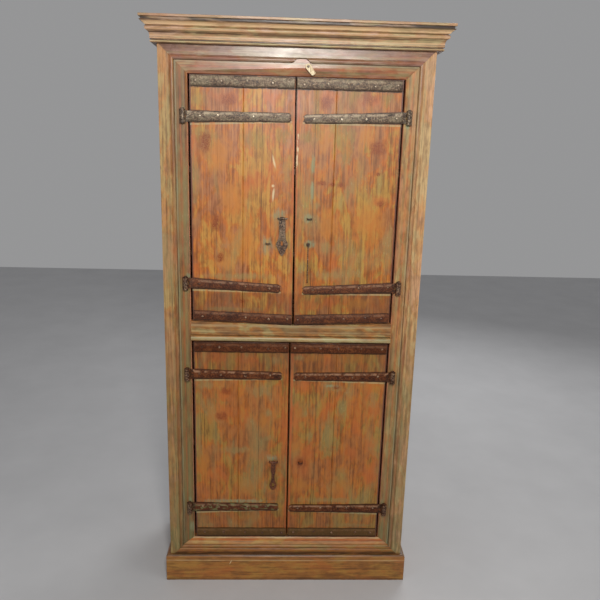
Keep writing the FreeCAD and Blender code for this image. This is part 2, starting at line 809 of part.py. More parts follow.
def hinge_strap(name, side, pin, tip, end):
    """A tapered strap whose forked root is rolled into two knuckles round the pin."""
    body = new_body(name)
    half, tip_half = s.hinge_strap_half, s.hinge_tip_half
    knuckle_half = s.knuckle_half_height
    fork = s.eye_half_height + s.eye_gap
    notch = HINGE_X - s.knuckle_radius - s.eye_gap
    rounding = s.hinge_tip_radius
    flat = tip_half - rounding
    plate = [(HINGE_X, pin - half), (HINGE_X, pin - fork), (notch, pin - fork), (notch, pin + fork),
             (HINGE_X, pin + fork), (HINGE_X, pin + half), (LEAF_EDGE, pin + half),
             (end + rounding, tip + tip_half, rounding, -1), (end, tip + flat),
             (end, tip - flat, rounding, -1), (end + rounding, tip - tip_half),
             (LEAF_EDGE, pin - half)]
    knuckle = forged_round(HINGE_X * side, HINGE_Y, s.knuckle_radius, ROUND_SIDES, 0)
    bore = circle(HINGE_X * side, HINGE_Y, s.hinge_pin_radius + s.hinge_play)
    if side < 0:
        plate = mirrored(plate)
    pad(body, "Plate", "XZ", [plate], IRON_FACE, s.leaf_face)
    pad(body, "LowKnuckle", "XY", [knuckle], pin - knuckle_half, pin - fork)
    pad(body, "HighKnuckle", "XY", [knuckle], pin + fork, pin + knuckle_half)
    cut(body, "Bore", "XY", [bore], pin - knuckle_half, pin + knuckle_half)
    return node(body)


def hinge_straps(door, side):
    for word, (pin_share, tip_share, end_share) in STRAP_SHARES[door].items():
        hinge_strap(f"{door}_{word}_hinge_strap", side, height_on(door, pin_share),
                    height_on(door, tip_share), OPENING_HALF * end_share)


def hinge_hardware():
    """The eyes driven into the jambs, one between each strap's knuckles, and their pins."""
    eyes, pins = [], []
    for door in STRAP_SHARES:
        side = -1 if door.endswith("left") else 1
        for count, height in enumerate(pin_heights(door)):
            eyes.append(hinge_eye(f"{door}_eye_{count}", HINGE_X * side, height))
            pins.append(hinge_pin(f"{door}_pin_{count}", HINGE_X * side, height))
    group("hinge_eyes", eyes)
    group("hinge_pins", pins)


def hinge_eye(name, x, height):
    """A drop-shaped eye on a flat shank, bored for the pin."""
    body = new_body(name)
    shank = s.eye_shank * HALF_SHARE
    round_half = s.knuckle_radius - s.knuckle_lift
    neck, end = s.inner_recess - s.eye_gap, s.inner_recess + s.eye_depth
    outline = front_half(x, HINGE_Y, round_half)
    outline += [(x + shank, neck), (x + shank, end), (x - shank, end), (x - shank, neck)]
    low, high = height - s.eye_half_height, height + s.eye_half_height
    pad(body, "Eye", "XY", [outline], low, high)
    cut(body, "Bore", "XY", [circle(x, HINGE_Y, s.hinge_pin_radius + s.hinge_play)], low, high)
    return body


def hinge_pin(name, x, height):
    """A pin whose forged head stands just off the upper knuckle."""
    body = new_body(name)
    low = height - s.knuckle_half_height - s.pin_reach
    head = height + s.knuckle_half_height + s.eye_gap
    pad(body, "Shaft", "XY", [circle(x, HINGE_Y, s.hinge_pin_radius)], low, head)
    pad(body, "Head", "XY", [octagon(x, HINGE_Y, s.pin_head_radius)], head, head + s.pin_head_height)
    return body


# Staples, hasps, hook and turn button

def hasp_staple(name, x, z):
    """Two square legs in the door, joined by the round bar that the hasp's loop turns on."""
    body = new_body(name)
    bar = s.leaf_face - s.staple_stand
    half = s.eye_wire * HALF_SHARE
    legs = []
    for side in (-1, 1):
        place = x + s.staple_half_width * side
        legs.append(box_loop(place - half, place + half, z - half, z + half))
    pad(body, "Legs", "XZ", legs, bar - half, s.leaf_face + s.staple_leg)
    pad(body, "Bar", "YZ", [circle(bar, z, s.wire_radius)],
        x - s.staple_half_width, x + s.staple_half_width)
    return body


def hasp_staple_holes(x, z):
    half = s.eye_wire * HALF_SHARE
    places = [x + s.staple_half_width * side for side in (-1, 1)]
    return [box_loop(place - half, place + half, z - half, z + half) for place in places]


def eye_staple(name, x, z):
    """A bow of square wire that stands out of the door as an eye."""
    body = new_body(name)
    outer, inner = s.eye_bow_radius, s.eye_bow_radius - s.eye_wire
    spring = s.leaf_face - s.eye_rise
    back = s.leaf_face + s.staple_leg
    bow = [(x - outer, back)] + front_half(x, spring, outer) + [(x + outer, back), (x + inner, back)]
    bow += front_half(x, spring, inner)[::-1] + [(x - inner, back)]
    half = s.eye_wire * HALF_SHARE
    pad(body, "Bow", "XY", [bow], z - half, z + half)
    return body


def eye_staple_holes(x, z):
    outer, inner = s.eye_bow_radius, s.eye_bow_radius - s.eye_wire
    half = s.eye_wire * HALF_SHARE
    return [box_loop(x - outer, x - inner, z - half, z + half),
            box_loop(x + inner, x + outer, z - half, z + half)]


def hasp(name, x, z):
    """A hanging iron tongue that flares to a pierced pad and ends in a point."""
    size = {key: getattr(s, f"{name}_{key}") for key in
            ("waist", "shank", "wide", "wide_at", "neck", "neck_at", "length")}
    body = new_body(name)
    bar = s.leaf_face - s.staple_stand
    back = bar + s.hasp_loop_radius
    straight, flare, belly = (None, 0), (s.hasp_flare, -1), (s.hasp_belly, 1)
    right = [(s.hasp_loop_half, ZERO), (size["waist"], -s.hasp_loop_radius),
             (size["waist"], -size["shank"]), (size["wide"], -size["wide_at"]),
             (size["neck"], -size["neck_at"])]
    below = (straight, straight, flare, belly, belly)
    above = (straight,) + below[:-1]
    outline = [(x + across, z + down) + curve for (across, down), curve in zip(right, below)]
    outline.append((x, z - size["length"]) + belly)
    outline.extend((x - across, z + down) + curve
                   for (across, down), curve in zip(reversed(right), reversed(above)))
    pad(body, "Plate", "XZ", [outline], back - s.iron_thickness, back)
    loop = forged_round(bar, z, s.hasp_loop_radius, ROUND_SIDES, 0)
    pad(body, "Loop", "YZ", [loop], x - s.hasp_loop_half, x + s.hasp_loop_half)
    cut(body, "LoopBore", "YZ", [circle(bar, z, s.wire_radius + s.hinge_play)],
        x - s.staple_half_width, x + s.staple_half_width)
    slot = box_loop(x - s.hasp_slot_half_width, x + s.hasp_slot_half_width,
                    z - size["wide_at"] - s.hasp_slot_half_height,
                    z - size["wide_at"] + s.hasp_slot_half_height)
    cut(body, "Slot", "XZ", [slot], back - s.iron_thickness, back)
    return node(body)


def hook(z):
    """A forged hook on a flat ring, its end bent back towards the door."""
    body = new_body("hook")
    middle = s.leaf_face - s.hook_stand
    front, back = middle - s.hook_wire_radius, middle + s.hook_wire_radius
    foot, bend = z - s.hook_length, s.hook_bend_radius
    pad(body, "Ring", "XZ", [forged_round(s.hook_x, z, s.hook_ring_radius, ROUND_SIDES, 0)], front, back)
    start = z - s.wire_radius - s.hook_wire_radius
    path = [(middle, start), (middle, foot + bend, bend, -1), (middle + bend, foot),
            (middle + bend + s.hook_point, foot)]
    sweep(body, "Rod", octagon(s.hook_x, middle, s.hook_wire_radius), start, path, s.hook_x)
    cut(body, "RingBore", "XZ", [circle(s.hook_x, z, s.wire_radius + s.hinge_play)], front, back)
    return node(body)


def nail(name, x, z, radius, head_radius, head_height, head, end):
    """A nail with a forged head that ends at the depth `head`, its shank on to `end`."""
    body = new_body(name)
    pad(body, "Shank", "XZ", [circle(x, z, radius)], head, end)
    pad(body, "Head", "XZ", [octagon(x, z, head_radius)], head - head_height, head)
    return node(body)


def turn_button():
    """A tapered wooden tongue with a round head, turned to hang clear of the doors' top edge."""
    body = new_body("turn_button")
    tip, corner, head, reach = s.button_tip_half, s.button_tip_corner, s.button_head_radius, s.button_reach
    tongue = [(-head, ZERO, head, 1), (ZERO, head, head, 1), (head, ZERO), (tip, corner - reach),
              (tip - corner, -reach), (corner - tip, -reach), (-tip, corner - reach)]
    pad(body, "Tongue", "XZ", [tongue], s.button_front, s.button_back)
    pad(body, "Boss", "XZ", [octagon(ZERO, ZERO, tip)], s.button_back, s.inner_recess)
    cut(body, "NailBore", "XZ", [circle(ZERO, ZERO, s.button_nail_radius + s.hinge_play)],
        s.button_front, s.inner_recess)
    body.setExpression("Placement.Base.x", s.button_x.formula)
    body.setExpression("Placement.Base.z", BUTTON_Z.formula)
    body.Placement.Rotation = FreeCAD.Rotation(Vector(0, 1, 0), -BUTTON_TILT_DEG)
    return node(body)


# The whole cupboard

def carcass():
    plinth_front()
    plinth_side("plinth_left", -1)
    plinth_side("plinth_right", 1)
    plinth_blocks()
    case_side("side_left", -1)
    case_side("side_right", 1)
    back_planks()
    behind_frame = s.inner_recess + s.inner_thickness
    shelf("bottom_board", BOTTOM_BOARD_TOP, behind_frame, s.board_thickness)
    shelf("middle_board", MIDDLE_BOARD_TOP, behind_frame, s.board_thickness)
    shelf("lower_shelf", LOWER_SHELF_TOP, s.shelf_front, s.shelf_thickness)
    for name, top in zip(("upper_shelf_low", "upper_shelf_high"), UPPER_SHELF_TOPS):
        shelf(name, top, s.shelf_front, s.shelf_thickness)
    shelf_cleats()
    cornice_rail()
    top_board()
    cornice_front()
    cornice_side("cornice_left", -1)
    cornice_side("cornice_right", 1)


def frames():
    outer_stile("outer_stile_left", -1)
    outer_stile("outer_stile_right", 1)
    outer_rail("outer_head", FRAME_TOP, HEAD_BOTTOM)
    outer_rail("outer_sill", FRAME_BOTTOM, SILL_TOP)
    inner_jamb("inner_jamb_left", -1)
    inner_jamb("inner_jamb_right", 1)
    inner_rail("inner_head", HEAD_BOTTOM, OPENING_TOP)
    inner_rail("inner_sill", SILL_TOP, OPENING_BOTTOM)
    mid_rail()


HEIGHTS = {"upper_hasp": height_on("upper_left", FITTING_SHARES["upper_hasp"]),
           "upper_catch": height_on("upper_right", FITTING_SHARES["upper_catch"]),
           "hook": height_on("upper_right", FITTING_SHARES["hook"]),
           "lower_hasp": height_on("lower_left", FITTING_SHARES["lower_hasp"]),
           "lower_catch": height_on("lower_right", FITTING_SHARES["lower_catch"])}


def doors():
    holes = {
        "upper_left": hasp_staple_holes(s.upper_hasp_x, HEIGHTS["upper_hasp"])
        + eye_staple_holes(s.hook_eye_x, HEIGHTS["hook"]),
        "upper_right": eye_staple_holes(s.upper_catch_x, HEIGHTS["upper_catch"])
        + [circle(s.hook_x, HEIGHTS["hook"], s.wire_radius)],
        "lower_left": hasp_staple_holes(s.lower_hasp_x, HEIGHTS["lower_hasp"]),
        "lower_right": eye_staple_holes(s.lower_catch_x, HEIGHTS["lower_catch"]),
    }
    for door in STRAP_SHARES:
        side = -1 if door.endswith("left") else 1
        door_leaf(door, side, getattr(s, door + "_joint"), holes[door])
        door_battens(door, side)
        edge_straps(door, side)
        hinge_straps(door, side)


def fittings():
    hinge_hardware()
    group("upper_left_staples", [hasp_staple("upper_hasp_staple", s.upper_hasp_x, HEIGHTS["upper_hasp"]),
                                 eye_staple("hook_eye", s.hook_eye_x, HEIGHTS["hook"])])
    node(eye_staple("upper_right_catch", s.upper_catch_x, HEIGHTS["upper_catch"]))
    node(hasp_staple("lower_left_staple", s.lower_hasp_x, HEIGHTS["lower_hasp"]))
    node(eye_staple("lower_right_catch", s.lower_catch_x, HEIGHTS["lower_catch"]))
    hasp("upper_hasp", s.upper_hasp_x, HEIGHTS["upper_hasp"])
    hasp("lower_hasp", s.lower_hasp_x, HEIGHTS["lower_hasp"])
    hook(HEIGHTS["hook"])
    nail("hook_nail", s.hook_x, HEIGHTS["hook"], s.wire_radius, s.hook_nail_head, s.hook_nail_head_height,
         s.leaf_face - s.hook_stand - s.hook_wire_radius - s.eye_gap, s.leaf_face + s.staple_leg)
    turn_button()
    nail("button_nail", s.button_x, BUTTON_Z, s.button_nail_radius, s.button_nail_head,
         s.button_nail_head_height, s.button_front - s.eye_gap * HALF_SHARE,
         s.inner_recess + s.inner_thickness)


carcass()
frames()
doors()
fittings()
document.recompute()

for item in document.Objects:
    if "Invalid" in item.State or "Error" in item.State:
        raise ValueError(f"{item.Label}: {item.State}")
os.makedirs("parts", exist_ok=True)
for piece in NODES:
    if piece.Shape.isNull() or not piece.Shape.isValid():
        raise ValueError(f"{piece.Label}: bad shape")
    piece.Shape.exportStep(os.path.join("parts", piece.Label + ".step"))
print(len(NODES), "nodes")
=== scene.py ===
import json
import math
import random

import bmesh
import bpy
from mathutils import Matrix, Vector

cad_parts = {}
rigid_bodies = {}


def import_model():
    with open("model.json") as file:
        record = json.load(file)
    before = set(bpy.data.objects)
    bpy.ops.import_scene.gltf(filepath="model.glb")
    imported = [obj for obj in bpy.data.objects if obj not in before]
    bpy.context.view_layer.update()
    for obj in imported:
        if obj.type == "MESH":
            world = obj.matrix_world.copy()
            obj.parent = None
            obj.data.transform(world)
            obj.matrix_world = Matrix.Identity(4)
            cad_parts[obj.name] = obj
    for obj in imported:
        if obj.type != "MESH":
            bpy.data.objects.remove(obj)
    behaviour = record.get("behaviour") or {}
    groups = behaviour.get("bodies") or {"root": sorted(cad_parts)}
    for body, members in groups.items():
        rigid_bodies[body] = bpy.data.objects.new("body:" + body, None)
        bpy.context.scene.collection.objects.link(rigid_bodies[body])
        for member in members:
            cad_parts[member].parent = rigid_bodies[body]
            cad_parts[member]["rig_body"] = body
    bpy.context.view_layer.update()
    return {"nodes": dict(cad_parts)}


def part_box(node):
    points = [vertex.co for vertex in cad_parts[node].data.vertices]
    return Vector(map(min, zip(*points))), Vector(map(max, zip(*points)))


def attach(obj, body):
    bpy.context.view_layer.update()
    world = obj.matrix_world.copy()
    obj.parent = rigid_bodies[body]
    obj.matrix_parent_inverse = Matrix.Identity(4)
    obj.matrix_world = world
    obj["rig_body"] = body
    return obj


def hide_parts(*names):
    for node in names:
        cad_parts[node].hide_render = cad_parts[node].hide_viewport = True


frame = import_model()

# Places on the cupboard, in metres, read from its pieces
DOORS = ("upper_left", "upper_right", "lower_left", "lower_right")
FRAME_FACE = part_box("outer_sill")[0][1]
LEAF_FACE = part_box("upper_left_planks")[0][1]
IRON_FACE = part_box("upper_left_edge_straps")[0][1]
LEAF_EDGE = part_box("upper_right_planks")[1][0]
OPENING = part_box("inner_jamb_right")[0][0]
DOORS_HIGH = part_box("inner_head")[0][2]
DOORS_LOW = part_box("inner_sill")[1][2]
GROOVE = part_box("outer_stile_right")[0][0]
HEAD_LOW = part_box("outer_head")[0][2]
SILL_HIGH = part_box("outer_sill")[1][2]
PLINTH_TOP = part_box("plinth_front")[1][2]
RAIL_LOW, RAIL_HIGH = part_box("mid_rail")[0][2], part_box("mid_rail")[1][2]
CORNICE_LOW, CORNICE_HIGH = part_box("cornice_front")[0][2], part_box("cornice_front")[1][2]
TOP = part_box("top_board")[1][2]

# Small sizes of the handwork, in metres
JOINT_MARGIN = 0.03
TOLERANCE = 0.0001
UPRIGHT_SLACK = 1e-5
SAME_POINT = 1e-6
LINE_WAVER = 0.004
STROKE_FADE = 0.006
RUBBED_FRAME = 0.0012
RUBBED_LEAF = 0.0010
RUBBED_FITTING = 0.0006
STRAP_END_GAP = 0.004
NARROWEST_STRAP = 0.008
STRAP_SKIN = 0.0004
STRAP_PROUD = 0.0020
STRAP_RIM = 0.0022
STRAP_WAVE = 0.0014
STRAP_DENT = 0.0006
NAIL_RADIUS = 0.0050
NAIL_HEIGHT = 0.0024
NAIL_STRAY = 0.010
NAIL_SUNK = 0.0003

# Where the nails sit, as shares of a strap from left to right
LEFT_NAIL_SHARES = (0.06, 0.30, 0.62, 0.88)
RIGHT_NAIL_SHARES = (0.10, 0.36, 0.66, 0.94)
EDGE_NAIL_SHARES = (0.06, 0.28, 0.52, 0.76, 0.95)
NAIL_LEVEL_SHARES = (0.42, 0.62)

# Beaten edges: how fast each wave runs along a strap, in radians to the metre
WAVE_RATES = (71.0, 113.0, 47.0, 163.0)
FULL_TURN = 6.28
STRAP_STEPS = 36
STRAP_SEED = 41
FIRST_NAIL_SEED = 11

# Below FLAT two faces count as one, from CURVED on they are a round, and from SHARP on a real corner
FLAT = math.radians(0.5)
CURVED = 0.01
SHARP = math.radians(32.0)

# An edge shorter than this many times its rub stays as it is
SHORTEST_RUBBED = 2.5


# Materials: a small kit for nodes, then the finishes of the cupboard

# Numbers of the Mix node's colour sockets
FIRST_COLOUR, SECOND_COLOUR, MIXED_COLOUR = 6, 7, 2


class Wire:
    """A value on its way through a material. Arithmetic on it adds the nodes that do it."""

    def __init__(self, finish, socket):
        self.finish = finish
        self.socket = socket

    def math(self, operation, *others):
        values = [self.socket] + [other.socket if isinstance(other, Wire) else other for other in others]
        node = self.finish.add("ShaderNodeMath", {"operation": operation}, dict(enumerate(values)))
        return Wire(self.finish, node.outputs[0])

    def __add__(self, other):
        return self.math("ADD", other)

    def __mul__(self, other):
        return self.math("MULTIPLY", other)

    def __sub__(self, other):
        return self.math("SUBTRACT", other)

    def __rsub__(self, other):
        return (self * -1.0).math("ADD", other)

    def __pow__(self, other):
        return self.math("POWER", other)

    __radd__ = __add__
    __rmul__ = __mul__

    def larger(self, other):
        return self.math("MAXIMUM", other)

    def size(self):
        return self.math("ABSOLUTE")

    def between(self, low, high):
        """0 at `low`, 1 at `high`, smooth between; it falls instead where `low` is the larger."""
        if low > high:
            return 1.0 - self.between(high, low)
        node = self.finish.add("ShaderNodeMapRange", {"interpolation_type": "SMOOTHSTEP", "clamp": True},
                               {"Value": self.socket, "From Min": low, "From Max": high})
        return Wire(self.finish, node.outputs["Result"])

    def within(self, low, high, soft):
        """1 from `low` to `high`, falling to 0 over `soft` on either side."""
        return self.between(low - soft, low) * self.between(high + soft, high)


class Finish:
    """One material, its nodes and its Principled shader."""

    def __init__(self, name):
        self.material = bpy.data.materials.new(name)
        self.material.use_nodes = True
        self.tree = self.material.node_tree
        self.tree.nodes.clear()
        self.output = self.add("ShaderNodeOutputMaterial")
        self.shader = self.add("ShaderNodeBsdfPrincipled")
        self.join(self.shader.outputs[0], self.output.inputs["Surface"])
        self.points = self.add("ShaderNodeTexCoord").outputs["Object"]
        parts = self.add("ShaderNodeSeparateXYZ", {}, {"Vector": self.points})
        self.x, self.y, self.z = [Wire(self, parts.outputs[axis]) for axis in "XYZ"]
        self.ragged = None

    def add(self, kind, settings=None, sockets=None):
        node = self.tree.nodes.new(kind)
        for key, value in (settings or {}).items():
            if key == "stops":
                self.set_stops(node.color_ramp, value)
            else:
                setattr(node, key, value)
        for key, value in (sockets or {}).items():
            if isinstance(value, Wire):
                value = value.socket
            if isinstance(value, bpy.types.NodeSocket):
                self.join(value, node.inputs[key])
            else:
                node.inputs[key].default_value = value
        return node

    def join(self, start, end):
        self.tree.links.new(start, end)

    @staticmethod
    def set_stops(ramp, stops):
        while len(ramp.elements) > 1:
            ramp.elements.remove(ramp.elements[-1])
        for index, (place, colour) in enumerate(stops):
            element = ramp.elements[0] if index == 0 else ramp.elements.new(place)
            element.position = place
            element.color = (*colour, 1.0)

    def noise(self, scale, detail=3.0, rough=0.6, warp=0.0, shift=(0.0, 0.0, 0.0)):
        """Noise with so many cells to the metre along X, Y and Z."""
        place = self.add("ShaderNodeMapping", {"vector_type": "POINT"},
                         {"Vector": self.points, "Scale": scale, "Location": shift})
        node = self.add("ShaderNodeTexNoise", {},
                        {"Vector": place.outputs[0], "Scale": 1.0, "Detail": detail, "Roughness": rough,
                         "Distortion": warp})
        return Wire(self, node.outputs["Fac"])

    def ramp(self, value, stops):
        return self.add("ShaderNodeValToRGB", {"stops": stops}, {"Fac": value}).outputs["Color"]

    def mix(self, share, first, second):
        """The second colour over the first, in the share given."""
        first, second = [(*c, 1.0) if isinstance(c, tuple) else c for c in (first, second)]
        node = self.add("ShaderNodeMix", {"data_type": "RGBA", "clamp_factor": True},
                        {"Factor": share, FIRST_COLOUR: first, SECOND_COLOUR: second})
        return node.outputs[MIXED_COLOUR]

    def attribute(self, name):
        return Wire(self, self.add("ShaderNodeAttribute", {"attribute_name": name}).outputs["Fac"])

    def spot(self, x, z, wide, tall, ragged=0.6, lean=0.0):
        """1 inside an upright ellipse on the front, fading raggedly to 0 at its edge."""
        if self.ragged is None:
            self.ragged = self.noise((70.0, 70.0, 35.0), 3.0) - 0.5
        across = (self.x - x + (self.z - z) * lean) * (1.0 / wide)
        along = (self.z - z) * (1.0 / tall)
        reach = (across * across + along * along) ** 0.5 + self.ragged * (3.0 * ragged)
        return reach.between(1.15, 0.25)

    def stroke(self, start, end, half):
        """1 along a nearly level line on the front, from one (x, z) to another."""
        slope = (end[1] - start[1]) / (end[0] - start[0])
        off = self.z - start[1] - (self.x - start[0]) * slope
        low, high = sorted((start[0], end[0]))
        return off.within(-half, half, half) * self.x.within(low, high, STROKE_FADE)

    def spots(self, places):
        mask = None
        for place in places:
            one = self.spot(*place)
            mask = one if mask is None else mask.larger(one)
        return mask

    def finish(self, colour, rough, height=None, distance=0.001, strength=1.0, metal=0.0):
        """Feed the shader, with `height` as a relief `distance` deep, and give the material."""
        sockets = self.shader.inputs
        self.join(colour, sockets["Base Color"])
        if isinstance(rough, Wire):
            self.join(rough.socket, sockets["Roughness"])
        else:
            sockets["Roughness"].default_value = rough
        sockets["Metallic"].default_value = metal
        if height is not None:
            bump = self.add("ShaderNodeBump", {},
                            {"Strength": strength, "Distance": distance, "Height": height})
            self.join(bump.outputs[0], sockets["Normal"])
        return self.material


def tint(red, green, blue):
    """A colour as a screen shows it, 0 to 255, as the share of light that it reflects."""
    shares = [part / 255.0 for part in (red, green, blue)]
    return tuple(share / 12.92 if share < 0.04045 else ((share + 0.055) / 1.055) ** 2.4 for share in shares)


# Hues of the worn wood: rosy, orange and honey, then its dark grain
UPPER_LEFT_WOOD = (tint(172, 110, 68), tint(190, 108, 36), tint(190, 138, 60), tint(104, 54, 18))
UPPER_RIGHT_WOOD = (tint(168, 108, 60), tint(186, 104, 32), tint(178, 134, 56), tint(98, 54, 20))
LOWER_WOOD = (tint(164, 100, 48), tint(180, 102, 32), tint(160, 120, 50), tint(84, 46, 14))
FRAME_WOOD = (tint(182, 132, 90), tint(182, 126, 70), tint(178, 146, 92), tint(94, 64, 36))
RIGHT_FRAME_WOOD = (tint(204, 156, 116), tint(200, 148, 94), tint(200, 168, 118), tint(112, 80, 50))
JAMB_WOOD = (tint(144, 98, 58), tint(146, 94, 46), tint(138, 108, 60), tint(74, 48, 26))
RIGHT_JAMB_WOOD = (tint(184, 130, 86), tint(184, 122, 66), tint(186, 152, 98), tint(88, 62, 36))
HEAD_WOOD = (tint(162, 124, 110), tint(164, 118, 90), tint(174, 152, 128), tint(100, 68, 52))
INNER_HEAD_WOOD = (tint(162, 114, 92), tint(164, 106, 72), tint(166, 134, 98), tint(92, 62, 44))
CORNICE_WOOD = (tint(198, 162, 136), tint(186, 142, 100), tint(188, 168, 124), tint(118, 90, 64))
SILL_WOOD = (tint(178, 108, 62), tint(188, 112, 48), tint(188, 144, 74), tint(100, 62, 30))
LOW_FRAME_WOOD = (tint(152, 98, 50), tint(158, 98, 38), tint(146, 112, 50), tint(78, 48, 22))
PLINTH_WOOD = (tint(153, 101, 46), tint(168, 108, 47), tint(168, 120, 53), tint(94, 57, 23))
RAIL_WOOD = (tint(142, 99, 59), tint(165, 108, 51), tint(164, 141, 90), tint(79, 55, 31))
SIDE_WOOD = (tint(140, 98, 62), tint(146, 96, 54), tint(142, 110, 68), tint(76, 50, 28))
INSIDE_WOOD = (tint(96, 66, 42), tint(108, 74, 44), tint(120, 88, 56), tint(60, 40, 24))
# Dark brown of grain and joints, also painted shade in quirks and grooves and under straps and mouldings
DARK_GRAIN_AND_SHADE = tint(70, 44, 24)
RED = tint(182, 88, 42)
KNOT = tint(126, 56, 12)
SAGE = tint(124, 124, 82)
PALE_GREEN = tint(182, 184, 138)
PATINA = tint(134, 146, 112)
CREAM = tint(216, 194, 150)
OLIVE = tint(152, 136, 84)
# Maroon, also painted shade in the gaps over and under a door
MAROON = tint(84, 42, 28)
# Painted shade of the gaps beside and between the doors
GAP_SHADE = tint(100, 56, 42)
# The darkest painted shade, for grooves, gaps, quirks, strap rims, knuckles and the feet of nails
DEEP_SHADE = tint(52, 34, 22)
# Painted highlights on the cornice's crests
CREST_HIGHLIGHT = tint(222, 178, 134)
BARE_WOOD = tint(150, 104, 62)
BARE_GRAIN = tint(92, 60, 34)

# How deep the front's colours reach into a door, and where its bare wood begins
PAINTED_TO = 0.006
BARE_FROM = 0.014

# The irons grow greyer between these heights
GREYING = (1.35, 1.74)


def wood(name, run, seed, hues, green, red, bands=(), marks=None, gloss=0.40, strokes=()):
    """Worn wood: soft patches of hue, fine grain along `run`, green paint left in its pores, lines, marks.
    Among its lines and strokes are painted shade, painted shadow and painted highlights.

    A band is (which way, low, high, soft edge, colour, share), a strip between two places across or
    up the front. A stroke is (start, end, half width, colour, share), a line beside a strap. Only
    the doors have strokes, and their backs are bare."""
    f = Finish(name)
    marks = marks or {}
    rosy, orange, honey, grain_dark = hues

    def grain(across, along, detail=3.0, warp=0.3, more=0.0):
        scale = tuple(along if axis == run else across for axis in "XYZ")
        return f.noise(scale, detail, 0.62, warp, (seed + more, seed * 1.7 + more, seed * 0.6 + more))

    patches = grain(11.0, 6.0, 4.0, 0.8)
    drift = grain(34.0, 12.0, 4.0, 0.6, 1.3)
    streaks = grain(150.0, 3.2, 4.0, 0.2, 2.1)
    fibres = grain(430.0, 8.0, 3.0, 0.1, 3.3)
    mottle = grain(80.0, 26.0, 3.0, 0.3, 4.3)
    hue = patches * 0.62 + drift * 0.38
    colour = f.ramp(hue, [(0.44, rosy), (0.50, orange), (0.56, honey)])
    figure = streaks * 0.42 + fibres * 0.28 + mottle * 0.30
    colour = f.mix(figure.between(0.56, 0.40) * 0.70, colour, grain_dark)
    colour = f.mix(figure.between(0.51, 0.60) * 0.25, colour, honey)
    grime = grain(20.0, 10.0, 4.0, 0.9, 7.7).between(0.52, 0.72)
    colour = f.mix(grime * 0.22, colour, grain_dark)
    if marks.get("golds"):
        colour = f.mix(f.spots(marks["golds"]) * 0.70, colour, f.mix(0.4, orange, honey))

    blush = grain(14.0, 5.0, 4.0, 0.6, 4.7).between(0.60 - 0.14 * red, 0.80 - 0.14 * red)
    if marks.get("reds"):
        blush = blush.larger(f.spots(marks["reds"]))
    colour = f.mix(blush * 0.58, colour, f.mix(0.55, orange, RED))
    left = grain(10.0, 4.0, 4.0, 0.8, 6.1).between(0.60 - 0.20 * green, 0.86 - 0.20 * green)
    if marks.get("greens"):
        left = left.larger(f.spots(marks["greens"]) * 0.85)
    pores = streaks.between(0.62, 0.40) * 0.6 + fibres.between(0.60, 0.44) * 0.4
    colour = f.mix(left * (pores * 0.40 + 0.40), colour, f.mix(0.3, SAGE, honey))
    cracks = streaks.between(0.37, 0.30).larger(fibres.between(0.36, 0.29) * 0.8)
    colour = f.mix(cracks * 0.28, colour, grain_dark)
    flecks = grain(300.0, 60.0, 2.0, 0.0, 5.3).between(0.64, 0.72)
    colour = f.mix(left * flecks * 0.45, colour, PALE_GREEN)

    broken = grain(60.0, 9.0, 3.0, 0.3, 8.9).between(0.36, 0.54) * 0.6 + 0.4
    waver = (drift - 0.5) * LINE_WAVER
    ways = {"across": f.x.size() + waver, "up": f.z + waver}
    # Bands and strokes: lines of paint and wear, and also painted shade, painted shadow and painted
    # highlights
    for way, low, high, soft, paint, share in bands:
        colour = f.mix(ways[way].within(low, high, soft) * broken * share, colour, paint)
    for start, end, half, paint, share in strokes:
        colour = f.mix(f.stroke(start, end, half) * broken * share, colour, paint)
    if marks.get("knots"):
        whorl = f.noise((150.0, 150.0, 110.0), 3.0, 0.6, 3.0, (seed, 0.0, 0.0)).between(0.40, 0.60)
        colour = f.mix(f.spots(marks["knots"]) * (whorl * 0.70 + 0.40), colour, KNOT)
    if marks.get("patina"):
        colour = f.mix(f.spots(marks["patina"]) * (pores * 0.65 + 0.15), colour, PATINA)
    if marks.get("pales"):
        colour = f.mix(f.spots(marks["pales"]) * 0.85, colour, CREAM)
    if strokes:
        bare = f.mix(figure.between(0.55, 0.41), BARE_WOOD, BARE_GRAIN)
        colour = f.mix(f.y.between(LEAF_FACE + BARE_FROM, LEAF_FACE + PAINTED_TO), bare, colour)
    height = streaks * 0.5 + fibres * 0.3 + drift * 0.2
    rough = drift * 0.25 + left * 0.12 + (gloss - 0.125)
    return f.finish(colour, rough, height, distance=0.0010, strength=0.6)


